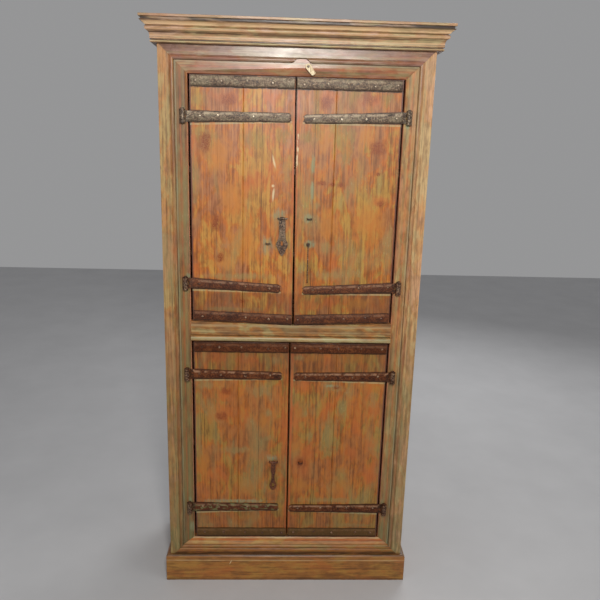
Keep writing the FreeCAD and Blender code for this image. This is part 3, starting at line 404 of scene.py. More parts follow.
def iron(name, seed, lip=0.0, painted=0.0, sheen=0.5, relief=1.0, greying=GREYING):
    """Forged iron, grey on the upper doors and rust-brown below.

    `lip` is the share of a painted highlight near a strap's upper edge, and `relief` says how strongly its
    spots stand out. Its rims and knuckles get painted shade, and its proudest parts rubbing and painted
    glints."""
    f = Finish(name)
    shift = (seed, seed * 0.7, seed * 1.3)
    dents = f.noise((60.0, 60.0, 80.0), 3.0, 0.55, 0.6, shift)
    fine = f.noise((210.0, 210.0, 230.0), 4.0, 0.68, 0.2, shift)
    cloud = f.noise((22.0, 22.0, 34.0), 4.0, 0.65, 0.8, shift)
    figure = (cloud * 0.40 + fine * 0.60 - 0.5) * relief + 0.5
    low = f.ramp(figure, [(0.41, tint(46, 22, 10)), (0.50, tint(86, 43, 20)), (0.58, tint(122, 70, 36))])
    high = f.ramp(figure, [(0.42, tint(42, 32, 24)), (0.50, tint(92, 72, 55)),
                           (0.57, tint(146, 124, 100))])
    low = f.mix(f.z.between(0.27, 0.22) * 0.6, low, tint(96, 76, 42))
    high = f.mix(cloud.between(0.50, 0.58) * 0.30, high, tint(100, 102, 80))
    upper = f.z.between(*greying)
    colour = f.mix(upper, low, high)
    worn = (dents * 0.6 + fine * 0.4).between(0.57, 0.68)
    colour = f.mix(worn * (upper * 0.28 + 0.16) * relief, colour, tint(186, 166, 140))
    if painted:
        left = f.noise((34.0, 34.0, 60.0), 4.0, 0.65, 0.8, (seed + 3.0, 1.0, 2.0))
        patches = left.between(0.66 - 0.2 * painted, 0.74 - 0.2 * painted)
        colour = f.mix(patches * 0.8, colour, tint(116, 118, 76))
    # Painted highlight near the strap's upper edge, and painted shade along its rims
    if lip:
        across = f.attribute("across")
        broken = f.noise((40.0, 40.0, 40.0), 4.0, 0.7, 0.3, shift).between(0.40, 0.58)
        lip_highlight = across.within(0.72, 0.84, 0.09) * broken
        colour = f.mix(lip_highlight * lip, colour, f.mix(upper, tint(180, 140, 108), tint(200, 180, 150)))
        rims = across.between(0.24, 0.06).larger(across.between(0.90, 0.99) * 0.8)
        colour = f.mix(rims * 0.75, colour, DEEP_SHADE)
    # Rubbed bright and painted glints on the proudest parts of the iron
    proud_rub_and_glint = f.y.between(IRON_FACE - 0.010, IRON_FACE - 0.0155)
    colour = f.mix(proud_rub_and_glint * fine.between(0.46, 0.60) * 0.45, colour, tint(180, 158, 130))
    # Painted shade round the hinge knuckles
    knuckle_shade = f.x.size().between(LEAF_EDGE - 0.002, LEAF_EDGE + 0.003)
    colour = f.mix(knuckle_shade * (1.0 - fine.between(0.49, 0.58)) * 0.75, colour, DEEP_SHADE)
    height = dents * 0.5 + fine * 0.5
    f.shader.inputs["Specular IOR Level"].default_value = sheen
    rough = fine * 0.30 + (0.42 - upper * 0.12)
    return f.finish(colour, rough, height, distance=0.0016, strength=0.8, metal=0.15)


def pale_wood():
    """The bare, pale wood of the turn button."""
    f = Finish("button_wood")
    streaks = f.noise((190.0, 190.0, 60.0), 4.0, 0.6, 0.8)
    colour = f.ramp(streaks, [(0.32, tint(150, 118, 78)), (0.48, tint(214, 192, 150)),
                              (0.66, tint(240, 226, 194))])
    return f.finish(colour, 0.5, streaks, distance=0.0008, strength=0.5)


def nail_iron():
    """Nail heads, most of them dull and some pale with painted glints, each with painted shadow at its
    foot.
    """
    f = Finish("nail_iron")
    glints_and_dents = f.noise((60.0, 60.0, 60.0), 4.0, 0.7)
    # Pale heads are painted glints, brighter on the upper doors
    low = f.ramp(glints_and_dents, [(0.44, tint(76, 44, 28)), (0.52, tint(110, 74, 50)), (0.60, tint(170, 138, 108))])
    high = f.ramp(glints_and_dents, [(0.42, tint(120, 100, 82)), (0.50, tint(164, 146, 122)),
                        (0.58, tint(206, 192, 168))])
    colour = f.mix(f.z.between(*GREYING), low, high)
    colour = f.mix(f.z.between(DOORS_HIGH - 0.060, DOORS_HIGH - 0.050) * 0.6, colour, tint(104, 82, 66))
    # Painted shadow at the foot of each head
    colour = f.mix(f.y.between(IRON_FACE - 0.0012, IRON_FACE - 0.0004) * 0.9, colour, DEEP_SHADE)
    return f.finish(colour, 0.34, glints_and_dents, distance=0.0006, strength=0.6, metal=0.3)


# Camera, light and floor

# The lens, and where the camera stands from the middle of the outer frame's face at the floor
PHOTO_WIDTH = 600
FOCAL_PIXELS = 620.0
FILM_WIDTH = 36.0
CAMERA_PLACE = Vector((-0.05384, -2.13549, 1.66698))
CAMERA_TURN = (-2.1396, -13.858, -1.5056)
FLOOR_HALF = 6


def camera():
    yaw, pitch, roll = [math.radians(angle) for angle in CAMERA_TURN]
    turn = Matrix.Rotation(yaw, 3, "Z") @ Matrix.Rotation(pitch, 3, "X") @ Matrix.Rotation(roll, 3, "Y")
    right, ahead, up = [turn.col[index] for index in range(3)]
    data = bpy.data.cameras.new("view")
    data.sensor_width = FILM_WIDTH
    data.lens = FILM_WIDTH * FOCAL_PIXELS / PHOTO_WIDTH
    data.shift_x = 0.5 / PHOTO_WIDTH
    data.clip_end = 50.0
    seer = bpy.data.objects.new("view", data)
    basis = Matrix((right, up, -ahead)).transposed().to_4x4()
    seer.matrix_world = Matrix.Translation(CAMERA_PLACE + Vector((0.0, FRAME_FACE, 0.0))) @ basis
    bpy.context.scene.collection.objects.link(seer)
    bpy.context.scene.camera = seer


def lamp(name, place, aim, width, power, hue=(1.0, 1.0, 1.0)):
    data = bpy.data.lights.new(name, "AREA")
    data.shape = "DISK"
    data.size = width
    data.energy = power
    data.color = hue
    light = bpy.data.objects.new(name, data)
    light.location = place
    light.rotation_euler = (Vector(aim) - Vector(place)).to_track_quat("-Z", "Y").to_euler()
    bpy.context.scene.collection.objects.link(light)


def studio():
    bpy.context.scene.view_settings.view_transform = "Standard"
    lamp("flash", (0.06, -2.30, 2.25), (0.0, 0.0, 1.40), 0.35, 36.0, (1.0, 0.97, 0.92))
    lamp("left_fill", (-2.6, -2.4, 2.2), (0.0, 0.0, 1.0), 1.6, 12.0, (0.96, 0.98, 1.0))
    lamp("right_fill", (2.8, -1.8, 2.0), (0.0, 0.0, 1.0), 1.6, 14.0, (1.0, 0.97, 0.93))
    lamp("back_fill", (1.5, 2.6, 2.6), (0.0, 0.0, 1.2), 2.0, 40.0)
    world = bpy.data.worlds.new("room")
    world.use_nodes = True
    sky = world.node_tree.nodes["Background"]
    sky.inputs["Color"].default_value = (0.84, 0.84, 0.85, 1.0)
    sky.inputs["Strength"].default_value = 0.36
    bpy.context.scene.world = world
    f = Finish("pale_floor")
    colour = f.ramp(f.noise((3.0, 3.0, 3.0), 3.0), [(0.3, (0.50, 0.50, 0.51)), (0.7, (0.54, 0.54, 0.55))])
    floor_finish = f.finish(colour, 0.8)
    mesh = bpy.data.meshes.new("floor")
    corners = [(x * FLOOR_HALF, y * FLOOR_HALF, 0) for x, y in ((-1, -1), (1, -1), (1, 1), (-1, 1))]
    mesh.from_pydata(corners, [], [(0, 1, 2, 3)])
    floor = bpy.data.objects.new("floor", mesh)
    floor.data.materials.append(floor_finish)
    bpy.context.scene.collection.objects.link(floor)


# Marks of the doors: places are metres across and up the front, then half width, half height, raggedness
# and lean
LEAF_MARKS = {
    "upper_left": {
        "knots": [(-0.226, 1.814, 0.036, 0.030, 0.6), (-0.268, 1.409, 0.022, 0.036, 0.5),
                  (-0.300, 1.672, 0.024, 0.040, 0.6), (-0.255, 1.284, 0.020, 0.020, 0.5),
                  (-0.178, 1.130, 0.010, 0.010, 0.4)],
        "patina": [(-0.056, 1.436, 0.034, 0.026, 0.6), (-0.092, 1.332, 0.024, 0.034, 0.6)],
        "pales": [(-0.072, 1.616, 0.0046, 0.026, 0.3, 0.25), (-0.074, 1.536, 0.006, 0.006, 0.2),
                  (-0.073, 1.505, 0.0046, 0.028, 0.3, -0.1)],
        "reds": [(-0.23, 1.82, 0.059, 0.025), (-0.08, 1.82, 0.040, 0.025), (-0.14, 1.55, 0.054, 0.046),
                 (-0.08, 1.60, 0.027, 0.030), (-0.34, 1.24, 0.021, 0.028), (-0.03, 1.14, 0.021, 0.022)],
        "greens": [(-0.32, 1.81, 0.029, 0.031), (-0.32, 1.71, 0.040, 0.022), (-0.14, 1.69, 0.047, 0.039),
                   (-0.34, 1.55, 0.020, 0.118), (-0.04, 1.70, 0.027, 0.032), (-0.03, 1.59, 0.017, 0.066),
                   (-0.19, 1.22, 0.141, 0.014), (-0.22, 1.10, 0.128, 0.011)],
        "golds": [(-0.26, 1.64, 0.053, 0.084), (-0.17, 1.34, 0.076, 0.090), (-0.21, 1.49, 0.055, 0.087),
                  (-0.24, 1.27, 0.056, 0.035)],
    },
    "upper_right": {
        "knots": [(0.100, 1.811, 0.026, 0.028, 0.6), (0.239, 1.824, 0.036, 0.028, 0.6),
                  (0.278, 1.667, 0.034, 0.034, 0.5), (0.094, 1.549, 0.024, 0.011, 0.5),
                  (0.128, 1.545, 0.014, 0.009, 0.4), (0.154, 1.545, 0.014, 0.012, 0.4),
                  (0.283, 1.584, 0.010, 0.008, 0.4), (0.299, 1.483, 0.018, 0.014, 0.5)],
        "patina": [(0.050, 1.428, 0.022, 0.020, 0.6), (0.056, 1.340, 0.022, 0.018, 0.6),
                   (0.060, 1.610, 0.008, 0.042, 0.6), (0.060, 1.520, 0.009, 0.042, 0.6)],
        "pales": [(0.006, 1.615, 0.0024, 0.056, 2.2)],
        "reds": [(0.10, 1.83, 0.040, 0.031), (0.25, 1.82, 0.053, 0.028), (0.04, 1.55, 0.027, 0.027),
                 (0.29, 1.49, 0.035, 0.027), (0.05, 1.30, 0.028, 0.032), (0.14, 1.27, 0.021, 0.043),
                 (0.21, 1.28, 0.021, 0.043), (0.06, 1.12, 0.050, 0.029), (0.14, 1.13, 0.036, 0.022)],
        "greens": [(0.30, 1.83, 0.027, 0.031), (0.16, 1.70, 0.047, 0.052), (0.17, 1.64, 0.027, 0.046),
                   (0.04, 1.70, 0.027, 0.026), (0.06, 1.61, 0.010, 0.033), (0.06, 1.52, 0.010, 0.047),
                   (0.07, 1.47, 0.021, 0.020), (0.16, 1.49, 0.010, 0.034), (0.20, 1.54, 0.017, 0.034),
                   (0.18, 1.51, 0.014, 0.034), (0.29, 1.56, 0.010, 0.060), (0.11, 1.33, 0.021, 0.028),
                   (0.16, 1.33, 0.021, 0.042), (0.03, 1.25, 0.021, 0.036), (0.14, 1.23, 0.071, 0.022),
                   (0.20, 1.24, 0.050, 0.029), (0.33, 1.32, 0.021, 0.105)],
        "golds": [(0.097, 1.424, 0.009, 0.007), (0.10, 1.69, 0.034, 0.052), (0.24, 1.70, 0.040, 0.045),
                  (0.12, 1.41, 0.042, 0.069), (0.26, 1.41, 0.070, 0.086), (0.24, 1.13, 0.058, 0.026)],
    },
    "lower_left": {
        "knots": [(-0.240, 0.787, 0.026, 0.018, 0.5), (-0.251, 0.687, 0.026, 0.020, 0.5)],
        "patina": [(-0.062, 0.515, 0.026, 0.018, 0.6), (-0.20, 0.334, 0.15, 0.009, 0.7)],
        "reds": [(-0.26, 0.92, 0.051, 0.023), (-0.16, 0.91, 0.051, 0.023), (-0.24, 0.77, 0.044, 0.032),
                 (-0.24, 0.70, 0.052, 0.040), (-0.16, 0.67, 0.022, 0.048), (-0.10, 0.53, 0.045, 0.033),
                 (-0.27, 0.45, 0.046, 0.042), (-0.02, 0.63, 0.015, 0.200)],
        "greens": [(-0.05, 0.91, 0.022, 0.023), (-0.31, 0.81, 0.044, 0.023), (-0.11, 0.79, 0.052, 0.039),
                   (-0.08, 0.70, 0.019, 0.020), (-0.08, 0.60, 0.026, 0.020), (-0.20, 0.55, 0.075, 0.017),
                   (-0.09, 0.39, 0.015, 0.051), (-0.32, 0.23, 0.047, 0.013), (-0.34, 0.63, 0.015, 0.120)],
        "golds": [(-0.29, 0.70, 0.022, 0.056), (-0.09, 0.67, 0.030, 0.056), (-0.32, 0.49, 0.030, 0.075),
                  (-0.16, 0.40, 0.061, 0.051), (-0.14, 0.26, 0.054, 0.022)],
    },
    "lower_right": {
        "knots": [(0.170, 0.806, 0.018, 0.010, 0.4), (0.046, 0.500, 0.026, 0.026, 0.5)],
        "patina": [(0.150, 0.812, 0.030, 0.008, 0.6)],
        "reds": [(0.05, 0.82, 0.030, 0.031), (0.03, 0.69, 0.030, 0.080), (0.14, 0.71, 0.030, 0.064),
                 (0.31, 0.72, 0.030, 0.040), (0.31, 0.58, 0.031, 0.033), (0.32, 0.45, 0.054, 0.059),
                 (0.24, 0.54, 0.031, 0.033), (0.07, 0.54, 0.030, 0.042)],
        "greens": [(0.03, 0.92, 0.022, 0.015), (0.17, 0.80, 0.052, 0.016), (0.22, 0.79, 0.022, 0.039),
                   (0.20, 0.73, 0.030, 0.056), (0.08, 0.61, 0.015, 0.033), (0.06, 0.70, 0.015, 0.016),
                   (0.31, 0.76, 0.022, 0.040), (0.15, 0.61, 0.045, 0.098), (0.16, 0.34, 0.156, 0.013),
                   (0.25, 0.23, 0.103, 0.013)],
        "golds": [(0.08, 0.92, 0.044, 0.023), (0.30, 0.81, 0.052, 0.032), (0.03, 0.56, 0.030, 0.050),
                  (0.20, 0.40, 0.046, 0.051), (0.04, 0.40, 0.039, 0.034), (0.22, 0.92, 0.074, 0.023)],
    },
}

# Each door's seed, hues, and how green and how red it is
LEAF_TONES = {"upper_left": (0.3, UPPER_LEFT_WOOD, 0.54, 0.45),
              "upper_right": (1.9, UPPER_RIGHT_WOOD, 0.62, 0.45),
              "lower_left": (3.3, LOWER_WOOD, 0.70, 0.50),
              "lower_right": (5.1, LOWER_WOOD, 0.68, 0.60)}
JAMB_MARKS = {"patina": [(-0.374, 1.778, 0.008, 0.012, 0.5), (-0.366, 1.215, 0.010, 0.014, 0.5),
                         (0.374, 1.745, 0.009, 0.012, 0.5), (-0.372, 0.335, 0.014, 0.020, 0.5),
                         (-0.368, 0.225, 0.010, 0.030, 0.5), (0.368, 0.330, 0.010, 0.016, 0.5)]}


class Outline:
    """How low and how high a strap reaches at each place along it."""

    def __init__(self, vertices):
        reach = {}
        for vertex in vertices:
            if abs(vertex.co.x) < LEAF_EDGE + TOLERANCE and vertex.co.y > IRON_FACE - TOLERANCE:
                reach.setdefault(round(vertex.co.x, 4), []).append(vertex.co.z)
        self.rows = sorted((x, min(zs), max(zs)) for x, zs in reach.items()
                           if max(zs) - min(zs) > NARROWEST_STRAP)

    def at(self, x):
        before = [row for row in self.rows if row[0] <= x] or self.rows[:1]
        after = [row for row in self.rows if row[0] >= x] or self.rows[-1:]
        (x0, low0, high0), (x1, low1, high1) = before[-1], after[0]
        share = (x - x0) / (x1 - x0) if x1 > x0 else 0.0
        return low0 + (low1 - low0) * share, high0 + (high1 - high0) * share


def moulding_shade_and_highlights():
    """Painted shade in the cornice's quirks, over its lower half and along its foot and top, painted
    highlights on its crests and fascia, and its green edges; the first three numbers are shares of its
    height."""
    tall = CORNICE_HIGH - CORNICE_LOW
    # Dark rows are painted shade, peach and pale rows painted highlights, the pale green row paint on a
    # bead
    rows = [(0.00, 0.55, 0.200, DARK_GRAIN_AND_SHADE, 0.22), (-0.02, 0.02, 0.015, DEEP_SHADE, 0.50),
            (0.05, 0.10, 0.020, PALE_GREEN, 0.30), (0.115, 0.150, 0.012, DARK_GRAIN_AND_SHADE, 1.30),
            (0.20, 0.23, 0.020, CREST_HIGHLIGHT, 0.40), (0.31, 0.35, 0.025, CREST_HIGHLIGHT, 0.45),
            (0.450, 0.505, 0.022, DARK_GRAIN_AND_SHADE, 0.80), (0.565, 0.620, 0.022, CREST_HIGHLIGHT, 0.55),
            (0.71, 0.75, 0.015, DARK_GRAIN_AND_SHADE, 0.60), (0.80, 0.94, 0.020, tint(246, 208, 160), 0.75),
            (0.965, 1.02, 0.012, DEEP_SHADE, 0.85)]
    return [("up", CORNICE_LOW + low * tall, CORNICE_LOW + high * tall, soft * tall, hue, share)
            for low, high, soft, hue, share in rows]


def frame_lines(way, groove):
    """The lines on either side of the groove between the frames, outer frame first, metres from it; the
    first, darkest line is painted shade in the groove.
    """
    rows = [(0.0000, 0.0010, 0.0008, DEEP_SHADE, 0.55), (0.0020, 0.0050, 0.0015, DARK_GRAIN_AND_SHADE, 0.30),
            (0.0062, 0.0115, 0.0025, KNOT, 0.45), (0.0190, 0.0230, 0.0030, SAGE, 0.25),
            (-0.0050, -0.0012, 0.0012, tint(160, 168, 136), 0.40),
            (-0.0120, -0.0070, 0.0020, OLIVE, 0.20), (-0.0190, -0.0160, 0.0020, RED, 0.25),
            (-0.0300, -0.0250, 0.0030, SAGE, 0.35)]
    return [(way, groove + low, groove + high, soft, hue, share) for low, high, soft, hue, share in rows]


def joint_of(door):
    """How far from the middle the two planks of a door meet."""
    places = [abs(vertex.co.x) for vertex in frame["nodes"][door + "_planks"].data.vertices]
    inside = [place for place in places if JOINT_MARGIN < place < LEAF_EDGE - JOINT_MARGIN]
    return sum(inside) / len(inside)


def leaf_lines(door):
    """Painted shade in the gaps all round a door and at its seam, its joint, and a worn edge where it meets
    its neighbour; also painted shadow under its top strap, a darker foot, and on a lower door a darker top.
    """
    low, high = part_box(door + "_planks")
    joint = joint_of(door)
    # Painted shade of the gaps at the door's hinge edge and at its seam
    lines = [("across", LEAF_EDGE - 0.0034, LEAF_EDGE + 0.01, 0.0014, GAP_SHADE, 1.5),
             ("across", -0.01, 0.0010, 0.0012, GAP_SHADE, 0.8),
             ("across", 0.0045, 0.0085, 0.0030, RED, 0.6),
             ("across", joint - 0.0012, joint + 0.0012, 0.0006, DARK_GRAIN_AND_SHADE, 0.6),
             # Painted shade of the gaps over and under the door
             ("up", high[2] - 0.0060, high[2] + 0.01, 0.0015, MAROON, 1.3),
             ("up", low[2] - 0.01, low[2] + 0.0040, 0.0015, MAROON, 1.3)]
    if door.startswith("upper"):
        # A darker foot, and painted shadow under the top edge strap
        lines.append(("up", low[2], low[2] + 0.110, 0.015, DARK_GRAIN_AND_SHADE, 0.42))
        lines.append(("up", high[2] - 0.040, high[2] - 0.036, 0.002, DARK_GRAIN_AND_SHADE, 1.0))
    else:
        # A darker foot, painted shadow under the top edge strap, and a darker band near the top
        lines.append(("up", low[2], low[2] + 0.110, 0.030, DARK_GRAIN_AND_SHADE, 0.22))
        lines.append(("up", high[2] - 0.036, high[2] - 0.031, 0.002, DARK_GRAIN_AND_SHADE, 1.0))
        lines.append(("up", high[2] - 0.095, high[2], 0.040, DARK_GRAIN_AND_SHADE, 0.40))
    return lines


def shades(door):
    """The lines under and over each strap hinge of a door, all along the strap: painted shadow and a pale
    green line under it, a maroon line over it.
    """
    under, over = 1, 2
    # Painted shadow right under the strap, then a pale green line; a maroon line over it
    lines = ((under, -0.0012, 0.0016, DARK_GRAIN_AND_SHADE, 0.9), (under, -0.0066, 0.0020, PALE_GREEN, 0.40),
             (over, 0.0010, 0.0014, MAROON, 0.7))
    for level in ("lower", "upper"):
        strap = Outline(frame["nodes"][f"{door}_{level}_hinge_strap"].data.vertices)
        first, last = strap.rows[0], strap.rows[-1]
        for side, off, half, paint, share in lines:
            yield (first[0], first[side] + off), (last[0], last[side] + off), half, paint, share


def finishes():
    """The finish of each kind of piece, by the start of its name.

    A wood is given by its grain's run, its seed, its hues, how green and how red it is, its lines
    and its marks."""
    over = frame_lines("up", HEAD_LOW)
    under = [("up", SILL_HIGH + 0.0010, SILL_HIGH + 0.0140, 0.003, CREAM, 0.25)]
    shade = [("up", CORNICE_LOW - 0.014, CORNICE_LOW + 0.01, 0.012, DARK_GRAIN_AND_SHADE, 0.40)]
    old_green = [("up", -1.0, 0.80, 0.30, tint(104, 92, 52), 0.50),
                 ("up", -1.0, 0.20, 0.10, tint(86, 92, 54), 0.35)]
    beside = old_green + frame_lines("across", GROOVE)
    # Painted light: the shaded reveals of the jambs and the underside of the head get a bright salmon
    painted_reveal_light = [("across", OPENING - 0.002, OPENING + 0.0006, 0.0004, tint(222, 144, 108), 2.0)]
    painted_lintel_light = [("up", DOORS_HIGH - 0.002, DOORS_HIGH + 0.0006, 0.0004, tint(200, 126, 92), 2.0)]
    # Painted shade under the rail's bead and in its groove; the bead's pale green is paint and painted
    # highlight
    rail = [("up", RAIL_LOW - 0.0010, RAIL_LOW + 0.0035, 0.0015, DEEP_SHADE, 0.7),
            ("up", RAIL_LOW + 0.0060, RAIL_LOW + 0.0160, 0.003, PALE_GREEN, 0.45),
            ("up", RAIL_LOW + 0.0225, RAIL_LOW + 0.0245, 0.001, DARK_GRAIN_AND_SHADE, 0.30),
            ("up", RAIL_HIGH - 0.018, RAIL_HIGH - 0.013, 0.004, CREAM, 0.22),
            ("up", RAIL_LOW + 0.036, RAIL_LOW + 0.038, 0.003, CREAM, 0.15)]
    # Painted shade in the gap over the plinth, on its top edge and along its foot
    ledge = [("up", PLINTH_TOP - 0.0030, PLINTH_TOP + 0.01, 0.0015, DEEP_SHADE, 0.8),
             ("up", PLINTH_TOP - 0.0100, PLINTH_TOP - 0.0030, 0.002, DARK_GRAIN_AND_SHADE, 0.20),
             ("up", PLINTH_TOP - 0.0230, PLINTH_TOP - 0.0200, 0.002, CREAM, 0.35),
             ("up", -0.01, 0.0060, 0.006, DARK_GRAIN_AND_SHADE, 0.5)]
    # Painted shade at the sill's foot, over the gap to the plinth
    foot = [("up", PLINTH_TOP - 0.01, PLINTH_TOP + 0.0050, 0.005, DEEP_SHADE, 0.7)]
    # Painted shade under the lower doors' bottom edge
    lip = [("up", DOORS_LOW - 0.0022, DOORS_LOW + 0.0100, 0.0008, DARK_GRAIN_AND_SHADE, 0.6),
           ("up", DOORS_LOW - 0.0070, DOORS_LOW - 0.0034, 0.0012, CREAM, 0.60),
           ("up", DOORS_LOW - 0.0160, DOORS_LOW - 0.0090, 0.003, RED, 0.4)]
    # Painted shade under the top board's nosing
    step = [("up", TOP - 0.018, TOP - 0.0085, 0.0008, DEEP_SHADE, 1.0),
            ("up", TOP - 0.007, TOP + 0.01, 0.001, tint(150, 112, 84), 0.35)]
    scratch = {"pales": [(-0.218, 0.080, 0.0022, 0.012, 0.3, -0.5)]}
    table = {
        "outer_stile": wood("stile_wood", "Z", 8.2, FRAME_WOOD, 0.60, 0.35, beside),
        "outer_stile_right": wood("right_stile_wood", "Z", 3.1, RIGHT_FRAME_WOOD, 0.50, 0.35, beside),
        "inner_jamb": wood("jamb_wood", "Z", 9.6, JAMB_WOOD, 0.75, 0.30, beside + painted_reveal_light, JAMB_MARKS),
        "inner_jamb_right": wood("right_jamb_wood", "Z", 2.6, RIGHT_JAMB_WOOD, 0.60, 0.30, beside + painted_reveal_light,
                                 JAMB_MARKS),
        "outer_head": wood("head_wood", "X", 2.6, HEAD_WOOD, 0.30, 0.35, over + shade, gloss=0.30),
        "inner_head": wood("inner_head_wood", "X", 4.4, INNER_HEAD_WOOD, 0.35, 0.45, over + painted_lintel_light,
                           gloss=0.34),
        "outer_sill": wood("sill_wood", "X", 6.1, LOW_FRAME_WOOD, 0.40, 0.45, under + foot),
        "inner_sill": wood("inner_sill_wood", "X", 6.9, SILL_WOOD, 0.45, 0.60, under + lip),
        "mid_rail": wood("mid_rail_wood", "X", 7.3, RAIL_WOOD, 0.60, 0.50, rail),
        "cornice": wood("cornice_wood", "X", 1.2, CORNICE_WOOD, 0.40, 0.30, moulding_shade_and_highlights()),
        "cornice_left": wood("cornice_left_wood", "Y", 1.4, CORNICE_WOOD, 0.45, 0.30, moulding_shade_and_highlights()),
        "cornice_right": wood("cornice_right_wood", "Y", 2.2, CORNICE_WOOD, 0.45, 0.30, moulding_shade_and_highlights()),
        "top_board": wood("top_wood", "X", 1.7, CORNICE_WOOD, 0.30, 0.30, step),
        "plinth_front": wood("plinth_wood", "X", 3.8, PLINTH_WOOD, 0.08, 0.55, ledge, scratch),
        "plinth": wood("plinth_side_wood", "Y", 4.9, PLINTH_WOOD, 0.30, 0.40, ledge),
        "plinth_blocks": wood("block_wood", "Z", 5.9, INSIDE_WOOD, 0.05, 0.1),
        "side": wood("side_wood", "Z", 5.7, SIDE_WOOD, 0.20, 0.15),
        "back_planks": wood("back_wood", "Z", 6.5, INSIDE_WOOD, 0.15, 0.10),
        "inside": wood("inside_wood", "X", 7.9, INSIDE_WOOD, 0.05, 0.10),
        "turn_button": pale_wood(),
        "upper_iron": iron("upper_strap_iron", 1.0, lip=0.40, sheen=0.4, relief=0.75),
        "lower_iron": iron("lower_strap_iron", 2.0, lip=0.60, sheen=0.25, relief=0.75),
        "upper_edge_iron": iron("upper_edge_iron", 5.0, lip=0.20, sheen=0.35, relief=0.7),
        "lower_edge_iron": iron("lower_edge_iron", 6.0, lip=0.14, sheen=0.2, relief=0.6),
        "painted_iron": iron("painted_strap_iron", 3.0, lip=0.30, painted=0.8, sheen=0.3, relief=0.5),
        "small_iron": iron("small_iron", 4.0, greying=(0.90, 1.60)),
        "nails": nail_iron(),
    }
    for door in DOORS:
        seed, hues, green, red = LEAF_TONES[door]
        table[door + "_planks"] = wood(door + "_wood", "Z", seed, hues, green, red, leaf_lines(door),
                                       LEAF_MARKS[door], gloss=0.44, strokes=tuple(shades(door)))
    return table


FINISHES = finishes()


def finish_of(name):
    """A strap takes the iron of its tier; any other node, the longest entry that its name starts with."""
    if "strap" in name:
        if name == "lower_left_lower_hinge_strap":
            return FINISHES["painted_iron"]
        tier = name.split("_")[0]
        kind = "edge_iron" if name.endswith("edge_straps") else "iron"
        return FINISHES[f"{tier}_{kind}"]
    owner = next((key for key in sorted(FINISHES, key=len, reverse=True) if name.startswith(key)), None)
    if owner is None:
        small = any(word in name for word in ("hinge", "staple", "catch", "hasp", "hook", "nail"))
        owner = "small_iron" if small else "inside"
    return FINISHES[owner]


# Worn and forged copies of the pieces

def clean_copy(name):
    """The node's mesh with its triangles joined into its real faces."""
    bm = bmesh.new()
    bm.from_mesh(frame["nodes"][name].data)
    bmesh.ops.remove_doubles(bm, verts=bm.verts, dist=SAME_POINT)
    bmesh.ops.dissolve_limit(bm, angle_limit=FLAT, verts=bm.verts, edges=bm.edges)
    return bm


def put(name, bm, material, body, node=None):
    """Make the mesh a piece that rides on a body, smooth but for its sharp edges."""
    bmesh.ops.recalc_face_normals(bm, faces=bm.faces)
    for edge in bm.edges:
        edge.smooth = len(edge.link_faces) == 2 and edge.calc_face_angle() < SHARP
    mesh = bpy.data.meshes.new(name)
    bm.to_mesh(mesh)
    bm.free()
    piece = bpy.data.objects.new(name, mesh)
    mesh.materials.append(material)
    bpy.context.scene.collection.objects.link(piece)
    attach(piece, body)
    if node:
        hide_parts(node)
    return piece


def at_joint(name, edge):
    """True for the edges where two planks of a door meet, which stay tight."""
    middle = (edge.verts[0].co + edge.verts[1].co) / 2.0
    upright = abs(edge.verts[0].co.x - edge.verts[1].co.x) < UPRIGHT_SLACK
    inside = JOINT_MARGIN < abs(middle.x) < LEAF_EDGE - JOINT_MARGIN
    return name.endswith("_planks") and upright and inside


def worn(name, width):
    """A copy of a wooden or small iron piece with its edges rubbed round; its flat faces stay flat."""
    bm = clean_copy(name)
    for face in bm.faces:
        face.smooth = any(CURVED < edge.calc_face_angle(0.0) < SHARP for edge in face.edges)
    edges = [edge for edge in bm.edges if len(edge.link_faces) == 2 and edge.calc_face_angle() > SHARP
             and edge.calc_length() > SHORTEST_RUBBED * width and not at_joint(name, edge)]
    made = bmesh.ops.bevel(bm, geom=edges, offset=width, segments=2, profile=0.5, affect="EDGES",
                           clamp_overlap=True)
    for face in made["faces"]:
        face.smooth = True
    put("worn_" + name, bm, finish_of(name), frame["nodes"][name]["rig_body"], name)


def islands(bm):
    """The separate solids of a mesh, each a list of its vertices, in the mesh's own order."""
    left = set(bm.verts)
    for start in bm.verts:
        if start not in left:
            continue
        left.remove(start)
        found, queue = [start], [start]
        while queue:
            for edge in queue.pop().link_edges:
                for vertex in edge.verts:
                    if vertex in left:
                        left.remove(vertex)
                        found.append(vertex)
                        queue.append(vertex)
        yield found


NAIL_PLACES = {door + "_door": [] for door in DOORS}


